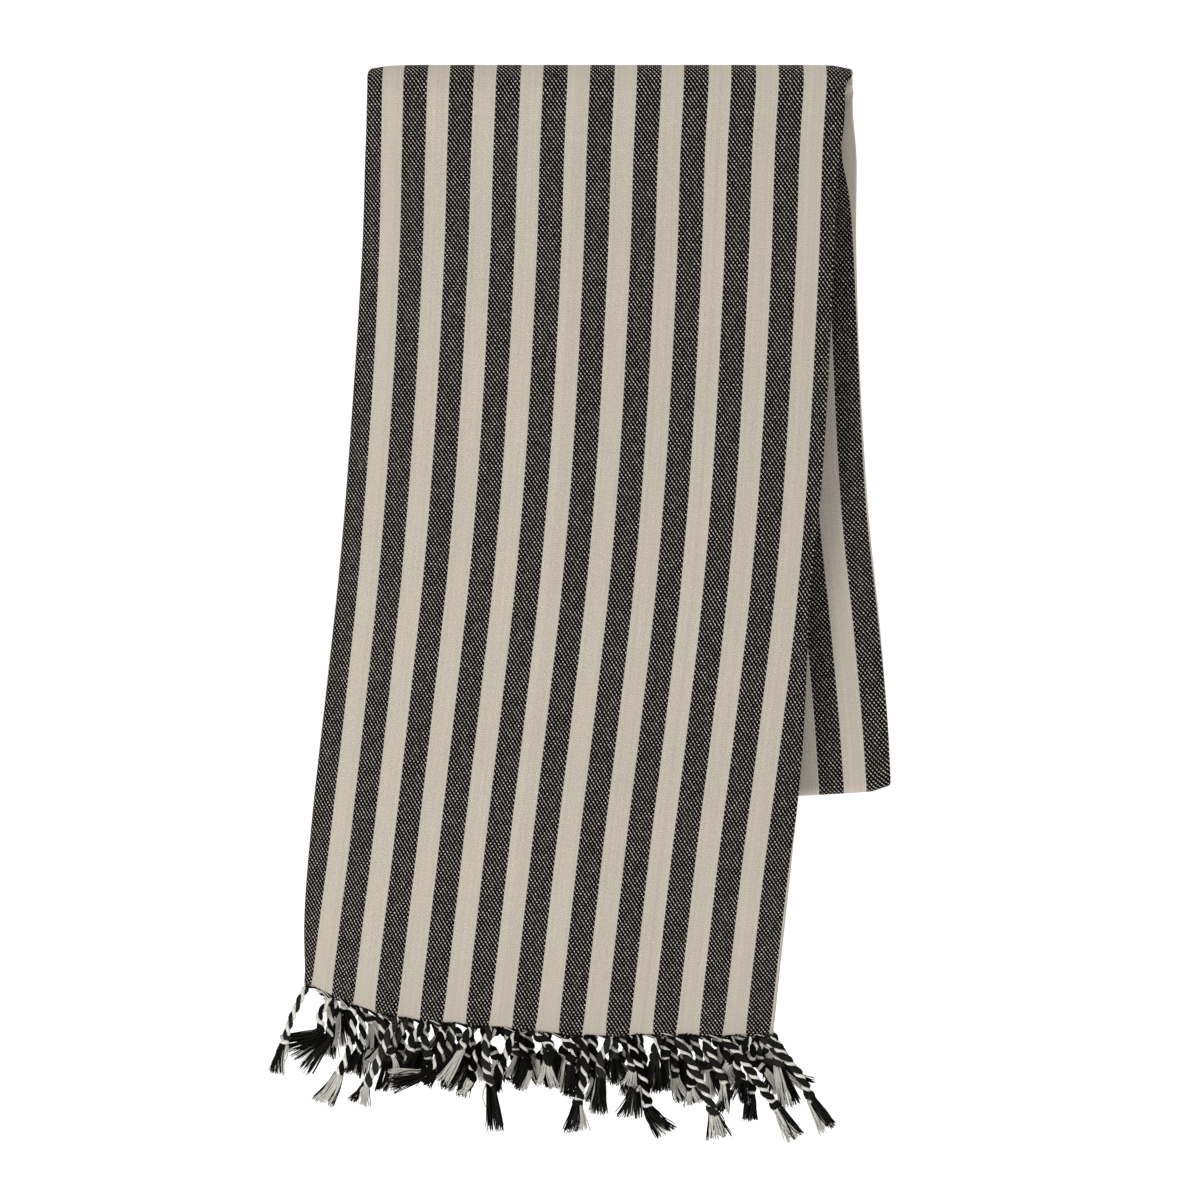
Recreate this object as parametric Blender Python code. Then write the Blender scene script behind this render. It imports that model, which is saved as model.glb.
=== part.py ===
"""Hammam towel: a striped cotton cloth with knotted fringes, folded and hung over a rail.

The cloth is folded in half across its width, in half again, and then once in its length.
That bundle of eight layers hangs askew over a rail, with both fringed ends at the front.

Metres, +Z up. +X is to the viewer's right and -Y is towards the viewer. The origin is the
rail's bearing line: the underside of the bundle over the rail, at the bundle's mid-width.
"""

import math
import random
from collections import namedtuple

import bmesh
import bpy
from mathutils import Vector

MM = 0.001

# The cloth and its stripes
TOWEL_WIDTH = 1000 * MM
CLOTH_THICKNESS = 1.0 * MM
LAYER_PITCH = 1.35 * MM
LAYERS = 4
STRIPE_PERIOD = 24.31 * MM
DARK_STRIPE = 12.5 * MM
STRIPE_OFFSET = -4.7 * MM

# The stripes that fall in each layer, counted from the one at the middle of layer 1
LAYER_STRIPES = {4: (-15, -6), 1: (-5, 5), 2: (6, 15), 3: (16, 25)}
LAYERS_RUNNING_RIGHT = (1, 3)
LAYER_1_MIDDLE = TOWEL_WIDTH * 3 / 8

# The bundle over the rail
HOLLOW_RADIUS = 5.2 * MM
OUTER_FOLD_RADIUS = 1.5 * LAYER_PITCH
SMALL_FOLD_RADIUS = 0.5 * LAYER_PITCH
OUTER_LAYER = (LAYERS - 0.5) * LAYER_PITCH
SPINE_RADIUS = HOLLOW_RADIUS + CLOTH_THICKNESS / 2 + OUTER_LAYER
OUTER_RADIUS = SPINE_RADIUS + OUTER_LAYER + CLOTH_THICKNESS / 2
CREST_TOP = OUTER_RADIUS - HOLLOW_RADIUS
FRONT_DROP = 502 * MM
BACK_DROP = 382 * MM
END_B_SHORTER = 4 * MM

# Each leg's rows, in millimetres: how far below the crest's top, how far the bundle's middle
# has shifted sideways there, and how far its two folded edges reach from that middle.
LegRow = namedtuple("LegRow", "drop shift left right")
FRONT_ROWS = (
    LegRow(0, 0.0, 125.9, 125.9),
    LegRow(40, -1.5, 125.8, 121.3),
    LegRow(100, -3.4, 125.8, 119.8),
    LegRow(200, -8.6, 126.6, 119.3),
    LegRow(270, -14.3, 126.6, 118.5),
    LegRow(340, -22.2, 126.3, 122.9),
    LegRow(400, -29.5, 125.4, 124.5),
    LegRow(460, -36.1, 123.2, 124.8),
    LegRow(502, -40.7, 119.0, 125.0),
)
BACK_ROWS = (
    LegRow(0, 0.0, 125.9, 125.9),
    LegRow(45, -1.5, 126.0, 130.5),
    LegRow(75, 1.7, 126.4, 127.4),
    LegRow(100, 3.2, 126.5, 126.2),
    LegRow(150, 5.5, 126.8, 125.8),
    LegRow(200, 7.9, 126.5, 125.6),
    LegRow(250, 11.3, 125.8, 125.6),
    LegRow(300, 16.4, 125.4, 125.6),
    LegRow(350, 20.9, 125.0, 125.6),
    LegRow(390, 23.6, 125.0, 125.4),
)
LEG_ROWS = {"front": FRONT_ROWS, "back": BACK_ROWS}
FACING = {"front": -1, "back": 1}

# The woven end isn't straight. In millimetres: the place across, and how much lower it is.
EdgePoint = namedtuple("EdgePoint", "across lower")
WOVEN_EDGE = (
    EdgePoint(-120, -12.0),
    EdgePoint(-105, -6.7),
    EdgePoint(-90, -2.4),
    EdgePoint(-65, 0.5),
    EdgePoint(-20, -0.3),
    EdgePoint(15, -0.4),
    EdgePoint(40, -2.0),
    EdgePoint(65, -5.5),
    EdgePoint(100, -8.7),
    EdgePoint(125, -12.3),
)
EDGE_BEND = 120 * MM

# Soft folds in a leg: depth, width of one whole wave, its phase in turns, slant in turns
# per metre of drop.
Wave = namedtuple("Wave", "depth width phase slant")
LEG_WAVES = {
    "front": (Wave(1.1 * MM, 175 * MM, 0.15, 0.3), Wave(0.5 * MM, 88 * MM, 0.60, -1.1)),
    "back": (Wave(0.9 * MM, 190 * MM, 0.55, -0.4), Wave(0.6 * MM, 97 * MM, 0.20, 1.3)),
}
WAVES_START = 25 * MM
WAVES_FULL = 230 * MM
TILT_SPAN = 40 * MM
TILT_FULL = 110 * MM

# How far the two loose selvedges stop short of the folded edge beside them
SELVEDGE_INSETS = {3: 4.5 * MM, 4: 3.0 * MM}
SELVEDGE_SWAY = 1.2 * MM
SELVEDGE_SWAY_LENGTH = 310 * MM

# The grid that the cloth is modelled on
INNER_COLUMNS = (-92 * MM, -45 * MM, 15 * MM, 75 * MM)
COLUMNS = (-126 * MM, *INNER_COLUMNS, 126 * MM)
FRONT_STEPS = 10
BACK_STEPS = 8
TURN_STEPS = 6
OUTER_FOLD_STEPS = 5
SMALL_FOLD_STEPS = 3

# The fringes
STRIP_HEIGHT = 5 * MM
PARTING = 0.3 * MM
FRINGE_PITCH = 3.6 * MM
FRINGE_SPREAD_DROP = 12 * MM
ROOT_DEPTH = 2.5 * MM
ROOT_TURN = 4 * MM
ROOT_WIDTH = 3.0 * MM
ROOT_THICKNESS = 0.8 * MM
CORD_WIDTH = 3.6 * MM
CORD_THICKNESS = 3.1 * MM
KNOT_WIDTH = 5.4 * MM
KNOT_LENGTH = 4.4 * MM
NECK_WIDTH = 4.0 * MM
TUFT_MIDDLE_SHARE = 0.85
PATH_STEP = 0.5 * MM

# One tassel: the layer it hangs from, its stripe, the cord's lean in degrees at the root,
# halfway and at the knot (0 is straight down, positive to the right), the tuft's lean, the
# cord's and the tuft's length and the tuft's width at its tip in millimetres.
Tassel = namedtuple("Tassel", "layer stripe root middle knot tuft cord tuft_length tip")
FRONT_TASSELS = (
    Tassel(1, -5, -34, -18, -32, -24, 28, 18, 7.0),
    Tassel(1, -4, -8, -16, -26, -8, 31, 18, 8.0),
    Tassel(1, -3, -20, -18, -28, -8, 33, 16, 8.0),
    Tassel(1, -2, 4, -18, -55, -78, 30, 18, 6.5),
    Tassel(1, -1, -4, 6, 8, 5, 27, 27, 7.0),
    Tassel(1, 0, 48, -5, -38, -14, 22, 21, 8.0),
    Tassel(1, 1, 14, -18, -6, 0, 31, 19, 10.0),
    Tassel(1, 2, 24, 17, 12, 24, 34, 19, 9.5),
    Tassel(1, 3, 42, 17, 30, 18, 40, 18, 9.0),
    Tassel(1, 4, 60, 40, -8, -7, 33, 17, 7.5),
    Tassel(1, 5, 34, 38, 38, 31, 38, 21, 8.0),
)

# How far to the right of its dark stripe's edge each layer's cords are tied, in millimetres
TieOff = namedtuple("TieOff", "end layer right")
TIES = (
    TieOff("a", 1, 0.0), TieOff("a", 2, 12.0), TieOff("a", 3, 5.5), TieOff("a", 4, -6.0),
    TieOff("b", 1, 2.5), TieOff("b", 2, 15.0), TieOff("b", 3, -3.0), TieOff("b", 4, 9.0),
)
TIE_INSET = 2 * MM

# The other tassels lean as they fall, more to the right towards the right-hand side.
LEAN_LEFT = -12
LEAN_RIGHT = 30
LEAN_RANGE = 24
LEAN_STEP = 15
CORD_LENGTHS = (25, 37)
TUFT_LENGTHS = (16, 23)
TUFT_TIPS = (6.0, 9.0)
FRINGE_SEEDS = {"a": 11, "b": 29}

# The cotton's average colours and its dull finish
CLOTH_COLOUR = (0.30, 0.27, 0.24)
FRINGE_A_COLOUR = (0.12, 0.11, 0.10)
FRINGE_B_COLOUR = (0.11, 0.10, 0.09)
COTTON_ROUGHNESS = 0.9
SMOOTH_ANGLE = math.radians(40)

Station = namedtuple("Station", "side drop centre across out left right")


def smooth_table(rows, at, column):
    """Read a column of a table between its rows, on a smooth curve through them."""
    keys = [row[0] * MM for row in rows]
    values = [getattr(row, column) * MM for row in rows]
    at = min(max(at, keys[0]), keys[-1])
    index = max(i for i in range(len(keys) - 1) if keys[i] <= at)

    def slope(i):
        low = max(i - 1, 0)
        high = min(i + 1, len(keys) - 1)
        return (values[high] - values[low]) / (keys[high] - keys[low])

    span = keys[index + 1] - keys[index]
    t = (at - keys[index]) / span
    rise = values[index + 1] - values[index]
    blend = t * t * (3 - 2 * t)
    start = slope(index) * span * t * (1 - t) ** 2
    end = slope(index + 1) * span * t * t * (1 - t)
    return values[index] + rise * blend + start - end


def ease(value):
    value = min(max(value, 0.0), 1.0)
    return value * value * (3 - 2 * value)


def row_tilt(side, drop):
    """A row stays square to the bundle's middle line, but lies along the rail at the crest."""
    rows = LEG_ROWS[side]
    above = max(drop - TILT_SPAN, 0.0)
    below = min(drop + TILT_SPAN, rows[-1].drop * MM)
    sideways = smooth_table(rows, below, "shift") - smooth_table(rows, above, "shift")
    return -sideways / (below - above) * ease((drop - OUTER_RADIUS) / TILT_FULL)


def fold_wave(side, drop, across):
    """How far the soft folds move a leg's whole bundle outwards, away from the other leg."""
    fade = ease((drop - WAVES_START) / (WAVES_FULL - WAVES_START))
    return fade * sum(
        wave.depth
        * (1 + math.sin(math.tau * (across / wave.width + wave.phase + wave.slant * drop)))
        for wave in LEG_WAVES[side]
    )


def edge_lower(side, drop, across):
    """The woven ends' own unevenness, which dies out up the front leg."""
    if side == "back":
        return 0.0
    near = min(max((drop - (FRONT_DROP - EDGE_BEND)) / EDGE_BEND, 0.0), 1.0)
    return near * near * smooth_table(WOVEN_EDGE, across, "lower")


def on_columns(form, side, drop, across):
    """A form of the cloth at a place across it, straight from one column to the next."""
    across = min(max(across, COLUMNS[0]), COLUMNS[-1])
    i = max(k for k in range(len(COLUMNS) - 1) if COLUMNS[k] <= across)
    share = (across - COLUMNS[i]) / (COLUMNS[i + 1] - COLUMNS[i])
    left = form(side, drop, COLUMNS[i])
    right = form(side, drop, COLUMNS[i + 1])
    return left + (right - left) * share


def leg_station(side, drop):
    """A row of a leg, or of the crest: its middle on the spine, between the two bundles."""
    rows = LEG_ROWS[side]
    tilt = row_tilt(side, drop)
    turn = 0.0
    if drop < OUTER_RADIUS:
        turn = math.asin(1 - drop / OUTER_RADIUS)
    out = Vector((0, FACING[side] * math.cos(turn), math.sin(turn)))
    hinge_drop = max(drop, OUTER_RADIUS)
    hinge = Vector((smooth_table(rows, drop, "shift"), 0, CREST_TOP - hinge_drop))
    return Station(
        side, drop,
        hinge + out * SPINE_RADIUS,
        Vector((math.cos(tilt), 0, -math.sin(tilt))),
        out,
        smooth_table(rows, drop, "left"),
        smooth_table(rows, drop, "right"),
    )


def crest_drops():
    """Drops on one side of the crest that make equal turns round the rail."""
    quarter = math.pi / 2
    half_steps = TURN_STEPS // 2
    return [OUTER_RADIUS * (1 - math.cos(quarter * i / half_steps)) for i in range(half_steps + 1)]


def leg_drops(last, steps):
    return [OUTER_RADIUS + (last - OUTER_RADIUS) * i / steps for i in range(1, steps + 1)]


def hairpin_stations():
    """The rows round the fold at the foot of the back leg, from the outside inwards."""
    foot = leg_station("back", BACK_DROP)
    down = Vector((foot.across.z, 0, -foot.across.x))
    stations = []
    for i in range(1, TURN_STEPS):
        turn = math.pi * i / TURN_STEPS
        out = foot.out * math.cos(turn) + down * math.sin(turn)
        stations.append(foot._replace(out=out))
    return stations


def hanging_rows(front_drop):
    """The rows of one bundle's outer half: up the front, over the crest, down the back."""
    front = list(reversed(crest_drops() + leg_drops(front_drop, FRONT_STEPS)))
    back = crest_drops()[1:] + leg_drops(BACK_DROP, BACK_STEPS)
    rows = [leg_station("front", drop) for drop in front]
    rows += [leg_station("back", drop) for drop in back]
    return rows


def turned_in(station):
    return station._replace(out=-station.out)


def cloth_stations():
    """Every row of the cloth, from end A round the hairpin to end B."""
    above_strip = STRIP_HEIGHT + PARTING
    outer = hanging_rows(FRONT_DROP - above_strip)
    inner = hanging_rows(FRONT_DROP - END_B_SHORTER - above_strip)
    return outer + hairpin_stations() + [turned_in(row) for row in reversed(inner)]


def fold_arc(across, height, radius, steps, side):
    """Points round a fold, from the deeper layer to the outer one; side is -1 on the left."""
    points = []
    for i in range(1, steps):
        turn = math.pi * i / steps
        points.append((across + side * radius * math.sin(turn), height - radius * math.cos(turn)))
    return points


def layer_run(start, end, height):
    """Points along one flat layer, with every layer's inner points in the same columns."""
    inner = [x for x in INNER_COLUMNS if min(start, end) + MM < x < max(start, end) - MM]
    if start > end:
        inner.reverse()
    return [(x, height) for x in [start] + inner + [end]]


def folded_section(station):
    """The cloth's width as it lies folded: pairs of place across and height off the spine.

    It runs from one selvedge along layer 4, round the left-hand fold to layer 1, which
    faces outwards, round the right-hand fold to layer 2, and back along layer 3.
    """
    heights = {layer: (LAYERS + 0.5 - layer) * LAYER_PITCH for layer in range(1, LAYERS + 1)}
    sway = SELVEDGE_SWAY * math.sin(math.tau * station.drop / SELVEDGE_SWAY_LENGTH)
    half = CLOTH_THICKNESS / 2
    left_fold = -station.left + half + OUTER_FOLD_RADIUS
    right_fold = station.right - half - SMALL_FOLD_RADIUS
    selvedge_4 = station.right - SELVEDGE_INSETS[4] + sway
    selvedge_3 = station.right - SELVEDGE_INSETS[3] - sway
    middle = 2 * LAYER_PITCH
    outer_arc = fold_arc(left_fold, middle, OUTER_FOLD_RADIUS, OUTER_FOLD_STEPS, -1)
    right_arc = fold_arc(right_fold, 3 * LAYER_PITCH, SMALL_FOLD_RADIUS, SMALL_FOLD_STEPS, 1)
    inner_arc = fold_arc(left_fold, middle, SMALL_FOLD_RADIUS, SMALL_FOLD_STEPS, -1)
    section = layer_run(selvedge_4, left_fold, heights[4]) + outer_arc
    section += layer_run(left_fold, right_fold, heights[1]) + right_arc[::-1]
    section += layer_run(right_fold, left_fold, heights[2]) + inner_arc[::-1]
    section += layer_run(left_fold, selvedge_3, heights[3])
    return section


def place(station, across, height):
    """A point of the bundle: across the row, and off the spine along the row's own side."""
    point = station.centre + station.across * across + station.out * height
    down = Vector((station.across.z, 0, -station.across.x))
    point += down * on_columns(edge_lower, station.side, station.drop, across)
    point.y += FACING[station.side] * on_columns(fold_wave, station.side, station.drop, across)
    return point


def sheet_object(name, stations, material):
    """A sheet along the rows, as a surface in the cloth's middle that is then thickened."""
    bm = bmesh.new()
    grid = []
    for station in stations:
        section = folded_section(station)
        grid.append([bm.verts.new(place(station, *point)) for point in section])
    for row, next_row in zip(grid, grid[1:]):
        for i in range(len(row) - 1):
            bm.faces.new((row[i], row[i + 1], next_row[i + 1], next_row[i]))
    obj = object_from(bm, name, material)
    thick = obj.modifiers.new("Thickness", "SOLIDIFY")
    thick.thickness = CLOTH_THICKNESS
    thick.offset = 0.0
    thick.use_even_offset = True
    return obj


def object_from(bm, name, material):
    mesh = bpy.data.meshes.new(name)
    bm.to_mesh(mesh)
    bm.free()
    mesh.shade_smooth()
    mesh.set_sharp_from_angle(angle=SMOOTH_ANGLE)
    obj = bpy.data.objects.new(name, mesh)
    obj.data.materials.append(material)
    bpy.context.scene.collection.objects.link(obj)
    return obj


def woven_edge_station(end):
    """The last row of an end's cloth, where its cords start."""
    if end == "a":
        return leg_station("front", FRONT_DROP)
    return turned_in(leg_station("front", FRONT_DROP - END_B_SHORTER))


def stripe_edge(stripe):
    """Where a dark stripe's right-hand edge lies across the whole cloth's width."""
    return LAYER_1_MIDDLE + STRIPE_OFFSET + stripe * STRIPE_PERIOD + DARK_STRIPE / 2


def tie_offset(end, layer):
    """A layer's own shift of its cords, along the cloth's width as that layer runs."""
    right = next(tie.right for tie in TIES if (tie.end, tie.layer) == (end, layer))
    return right * MM if layer in LAYERS_RUNNING_RIGHT else -right * MM


def root_on_section(section, stripe, offset):
    """Follow the folded section to a stripe's edge, measured from layer 1's middle."""
    lengths = [0.0]
    for (x0, y0), (x1, y1) in zip(section, section[1:]):
        lengths.append(lengths[-1] + math.hypot(x1 - x0, y1 - y0))
    layer_1 = next(i for i, (_, height) in enumerate(section) if height == OUTER_LAYER)
    middle = lengths[layer_1] - section[layer_1][0]
    target = middle + stripe_edge(stripe) + offset - LAYER_1_MIDDLE
    target = min(max(target, TIE_INSET), lengths[-1] - TIE_INSET)
    i = max(k for k in range(len(lengths) - 1) if lengths[k] <= target)
    share = (target - lengths[i]) / (lengths[i + 1] - lengths[i])
    (x0, y0), (x1, y1) = section[i], section[i + 1]
    return x0 + (x1 - x0) * share, y0 + (y1 - y0) * share


def drifting(generator, value, low, high):
    """The next of a run of leans that change a little from tassel to tassel."""
    return min(max(value + generator.uniform(-LEAN_STEP, LEAN_STEP), low), high)


def layer_stripes(layer):
    """The stripes whose cords hang from a layer, from left to right."""
    first, last = LAYER_STRIPES[layer]
    stripes = list(range(first, last + 1))
    if layer not in LAYERS_RUNNING_RIGHT:
        stripes.reverse()
    return stripes


def random_tassels(end):
    """The tassels that no table holds: neighbours in a layer hang nearly alike."""
    generator = random.Random(FRINGE_SEEDS[end])
    tassels = []
    for layer in range(1, LAYERS + 1):
        stripes = layer_stripes(layer)
        leans = [generator.uniform(-LEAN_RANGE, LEAN_RANGE) for _ in range(4)]
        for number, stripe in enumerate(stripes):
            side = number / (len(stripes) - 1)
            trend = LEAN_LEFT + (LEAN_RIGHT - LEAN_LEFT) * side
            leans = [drifting(generator, lean, -LEAN_RANGE, LEAN_RANGE) for lean in leans]
            root, middle, knot, tuft = (trend + lean for lean in leans)
            cord = generator.uniform(*CORD_LENGTHS)
            tuft_length = generator.uniform(*TUFT_LENGTHS)
            tip = generator.uniform(*TUFT_TIPS)
            tassels.append(
                Tassel(layer, stripe, root, middle, knot, tuft, cord, tuft_length, tip))
    return tassels


def end_tassels(end):
    tassels = random_tassels(end)
    if end == "a":
        hidden = [tassel for tassel in tassels if tassel.layer != 1]
        tassels = list(FRONT_TASSELS) + hidden
    return tassels


def lean_at(tassel, along):
    """The lean, in radians, at a distance along a tassel."""
    cord = tassel.cord * MM
    if along <= cord / 2:
        share = ease(along / (cord / 2))
        lean = tassel.root + (tassel.middle - tassel.root) * share
    elif along <= cord:
        share = ease((along - cord / 2) / (cord / 2))
        lean = tassel.middle + (tassel.knot - tassel.middle) * share
    else:
        share = ease((along - cord) / (2 * KNOT_LENGTH))
        lean = tassel.knot + (tassel.tuft - tassel.knot) * share
    return math.radians(lean) * ease(along / ROOT_TURN)


def drop_below_edge(edge, point):
    """How far a point is below the woven edge, straight up from it."""
    across = (point.x - edge.centre.x) / edge.across.x
    across = min(max(across, -edge.left), edge.right)
    return place(edge, across, 0.0).z - point.z, across


def tassel_path(end, edge, tassel):
    """Points every half millimetre along a tassel's middle line in the row's own plane."""
    offset = tie_offset(end, tassel.layer)
    across, height = root_on_section(folded_section(edge), tassel.stripe, offset)
    position = place(edge, across, 0.0)
    position.z += ROOT_DEPTH
    lean = 0.0
    along = -ROOT_DEPTH
    length = (tassel.cord + tassel.tuft_length) * MM + KNOT_LENGTH
    path = []
    while along <= length + PATH_STEP:
        path.append((along, position.copy(), lean))
        position += Vector((math.sin(lean), 0, -math.cos(lean))) * PATH_STEP
        along += PATH_STEP
        lean = lean_at(tassel, max(along, 0.0))
    return path, height


def spread_stop(edge, path):
    """How far along its path a tassel is when the layers' fringes have spread apart."""
    for along, position, _ in path:
        if drop_below_edge(edge, position)[0] >= FRINGE_SPREAD_DROP:
            return along
    return path[-1][0]


def tassel_rings(tassel, spread):
    """A tassel's stops along its length, each with its width there."""
    cord = tassel.cord * MM
    tuft = tassel.tuft_length * MM
    tip = tassel.tip * MM
    rest = cord - spread
    knot_end = cord + KNOT_LENGTH
    return (
        (-ROOT_DEPTH, ROOT_WIDTH),
        (0.0, ROOT_WIDTH),
        (spread / 2, CORD_WIDTH),
        (spread, CORD_WIDTH),
        (spread + rest / 3, CORD_WIDTH),
        (spread + rest * 2 / 3, CORD_WIDTH),
        (cord, CORD_WIDTH),
        (cord + KNOT_LENGTH / 2, KNOT_WIDTH),
        (knot_end, NECK_WIDTH),
        (knot_end + tuft / 2, tip * TUFT_MIDDLE_SHARE),
        (knot_end + tuft, tip),
    )


def strand_depth(edge, tassel, height, point):
    """Where a layer's fringe lies from front to back at a point, and how thick it is there."""
    drop, across = drop_below_edge(edge, point)
    share = min(max(drop / FRINGE_SPREAD_DROP, 0.0), 1.0)
    spread_height = (LAYERS + 0.5 - tassel.layer) * FRINGE_PITCH
    depth = edge.out.y * (height + (spread_height - height) * share)
    depth += edge.centre.y + FACING["front"] * on_columns(fold_wave, "front", edge.drop, across)
    return depth, ROOT_THICKNESS + (CORD_THICKNESS - ROOT_THICKNESS) * share


def ring_corners(edge, tassel, height, step, width):
    """The four corners of a strand's section, in its own layer's part of the fringe."""
    _, position, lean = step
    side = Vector((math.cos(lean), 0, math.sin(lean))) * width / 2
    corners = []
    for facing in (1, -1):
        point = position + side * facing
        depth, thickness = strand_depth(edge, tassel, height, point)
        back = Vector((point.x, depth + thickness / 2, point.z))
        front = Vector((point.x, depth - thickness / 2, point.z))
        corners += [back, front] if facing == -1 else [front, back]
    return corners


def add_tassel(bm, end, edge, tassel):
    """One four-sided strand of a cord, its knot and its tuft."""
    path, height = tassel_path(end, edge, tassel)
    rings = []
    for stop, width in tassel_rings(tassel, spread_stop(edge, path)):
        step = min(path, key=lambda item: abs(item[0] - stop))
        corners = ring_corners(edge, tassel, height, step, width)
        rings.append([bm.verts.new(corner) for corner in corners])
    for ring, next_ring in zip(rings, rings[1:]):
        for i in range(4):
            k = (i + 1) % 4
            bm.faces.new((ring[i], ring[k], next_ring[k], next_ring[i]))
    bm.faces.new(rings[0][::-1])
    bm.faces.new(rings[-1])


def tassels_object(name, end, material):
    bm = bmesh.new()
    edge = woven_edge_station(end)
    for tassel in end_tassels(end):
        add_tassel(bm, end, edge, tassel)
    bmesh.ops.recalc_face_normals(bm, faces=bm.faces)
    obj = object_from(bm, name, material)
    obj.hide_render = True
    obj.display_type = "WIRE"
    return obj


def fringe_object(name, end, material):
    """An end's last woven strip, with its tassels grown from the strip's lower edge."""
    bottom = woven_edge_station(end)
    top = leg_station("front", bottom.drop - STRIP_HEIGHT)
    rows = [bottom, top] if end == "a" else [turned_in(top), bottom]
    strip = sheet_object(name, rows, material)
    union = strip.modifiers.new("Tassels", "BOOLEAN")
    union.operation = "UNION"
    union.solver = "EXACT"
    union.object = tassels_object(name + "_tassels", end, material)
    return strip


def cotton(name, colour):
    material = bpy.data.materials.new(name)
    material.use_nodes = True
    shader = material.node_tree.nodes["Principled BSDF"]
    shader.inputs["Base Color"].default_value = (*colour, 1)
    shader.inputs["Roughness"].default_value = COTTON_ROUGHNESS
    shader.inputs["Metallic"].default_value = 0.0
    return material


def build():
    for obj in list(bpy.data.objects):
        bpy.data.objects.remove(obj)
    sheet_object("cloth", cloth_stations(), cotton("striped_cotton", CLOTH_COLOUR))
    fringe_object("fringe_end_a", "a", cotton("twisted_cotton_a", FRINGE_A_COLOUR))
    fringe_object("fringe_end_b", "b", cotton("twisted_cotton_b", FRINGE_B_COLOUR))


build()
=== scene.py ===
"""The looks of a hammam towel that is folded and hung over a rail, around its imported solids.

The cloth is one thin woven sheet on its solid's folds. Its warp ends are gathered, twisted
into two-ply cords, knotted, and left loose as tufts, along both fringed ends.
"""

import math
import random
from collections import namedtuple

import bpy
import numpy as np
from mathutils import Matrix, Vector


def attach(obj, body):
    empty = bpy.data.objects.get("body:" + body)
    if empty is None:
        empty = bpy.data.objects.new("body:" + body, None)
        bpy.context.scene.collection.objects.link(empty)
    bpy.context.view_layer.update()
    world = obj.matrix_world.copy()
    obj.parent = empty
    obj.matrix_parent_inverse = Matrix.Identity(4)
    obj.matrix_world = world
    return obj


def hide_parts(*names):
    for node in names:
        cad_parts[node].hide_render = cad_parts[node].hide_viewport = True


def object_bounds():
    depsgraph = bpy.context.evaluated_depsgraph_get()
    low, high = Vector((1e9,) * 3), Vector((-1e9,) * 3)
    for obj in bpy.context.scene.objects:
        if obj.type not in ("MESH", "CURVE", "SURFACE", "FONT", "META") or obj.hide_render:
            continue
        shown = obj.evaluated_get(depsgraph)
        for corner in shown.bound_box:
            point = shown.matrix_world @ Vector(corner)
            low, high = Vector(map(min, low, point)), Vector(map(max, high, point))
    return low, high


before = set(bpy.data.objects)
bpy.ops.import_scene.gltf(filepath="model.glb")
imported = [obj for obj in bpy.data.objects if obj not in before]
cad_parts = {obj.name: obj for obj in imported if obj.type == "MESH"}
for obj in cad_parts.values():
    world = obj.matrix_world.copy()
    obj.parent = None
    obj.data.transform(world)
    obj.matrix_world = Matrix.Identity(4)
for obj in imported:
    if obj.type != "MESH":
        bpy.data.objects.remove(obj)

CAD_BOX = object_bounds()

MM = 0.001


def rows_of(kind, *rows):
    """A table whose rows' values have names."""
    return [kind(*row) for row in rows]


# ---------------------------------------------------------------- the cloth's sizes
TOWEL_WIDTH = 1000 * MM
SOLID_THICKNESS = 1.0 * MM
CLOTH_THICKNESS = 0.8 * MM
LAYER_PITCH = 1.35 * MM
LAYERS = 4

# The weave: warp ends lie along the towel, and a stripe is a whole number of them.
STRIPE_PERIOD = 24.31 * MM
DARK_ENDS = 12
LIGHT_ENDS = 11
STRIPE_ENDS = DARK_ENDS + LIGHT_ENDS
WARP_PITCH = STRIPE_PERIOD / STRIPE_ENDS
WEFT_PITCH = 1.38 * MM
LAYER_1_MIDDLE = TOWEL_WIDTH * 3 / 8
STRIPE_OFFSET = -4.7 * MM
DARK_STRIPE = 12.5 * MM

# The dark stripes whose cords hang from each layer, numbered across the flat towel from the
# middle of layer 1, and the layers where a greater number lies further right
LAYER_STRIPES = {4: (-15, -6), 1: (-5, 5), 2: (6, 15), 3: (16, 25)}
LAYERS_RUNNING_RIGHT = (1, 3)

# The bundle over the rail
HOLLOW_RADIUS = 5.2 * MM
OUTER_FOLD_RADIUS = 1.5 * LAYER_PITCH
SMALL_FOLD_RADIUS = 0.5 * LAYER_PITCH
OUTER_LAYER = (LAYERS - 0.5) * LAYER_PITCH
SPINE_RADIUS = HOLLOW_RADIUS + SOLID_THICKNESS / 2 + OUTER_LAYER
OUTER_RADIUS = SPINE_RADIUS + OUTER_LAYER + SOLID_THICKNESS / 2
CREST_TOP = OUTER_RADIUS - HOLLOW_RADIUS
FRONT_DROP = 502 * MM
BACK_DROP = 382 * MM
END_B_SHORTER = 4 * MM

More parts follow.
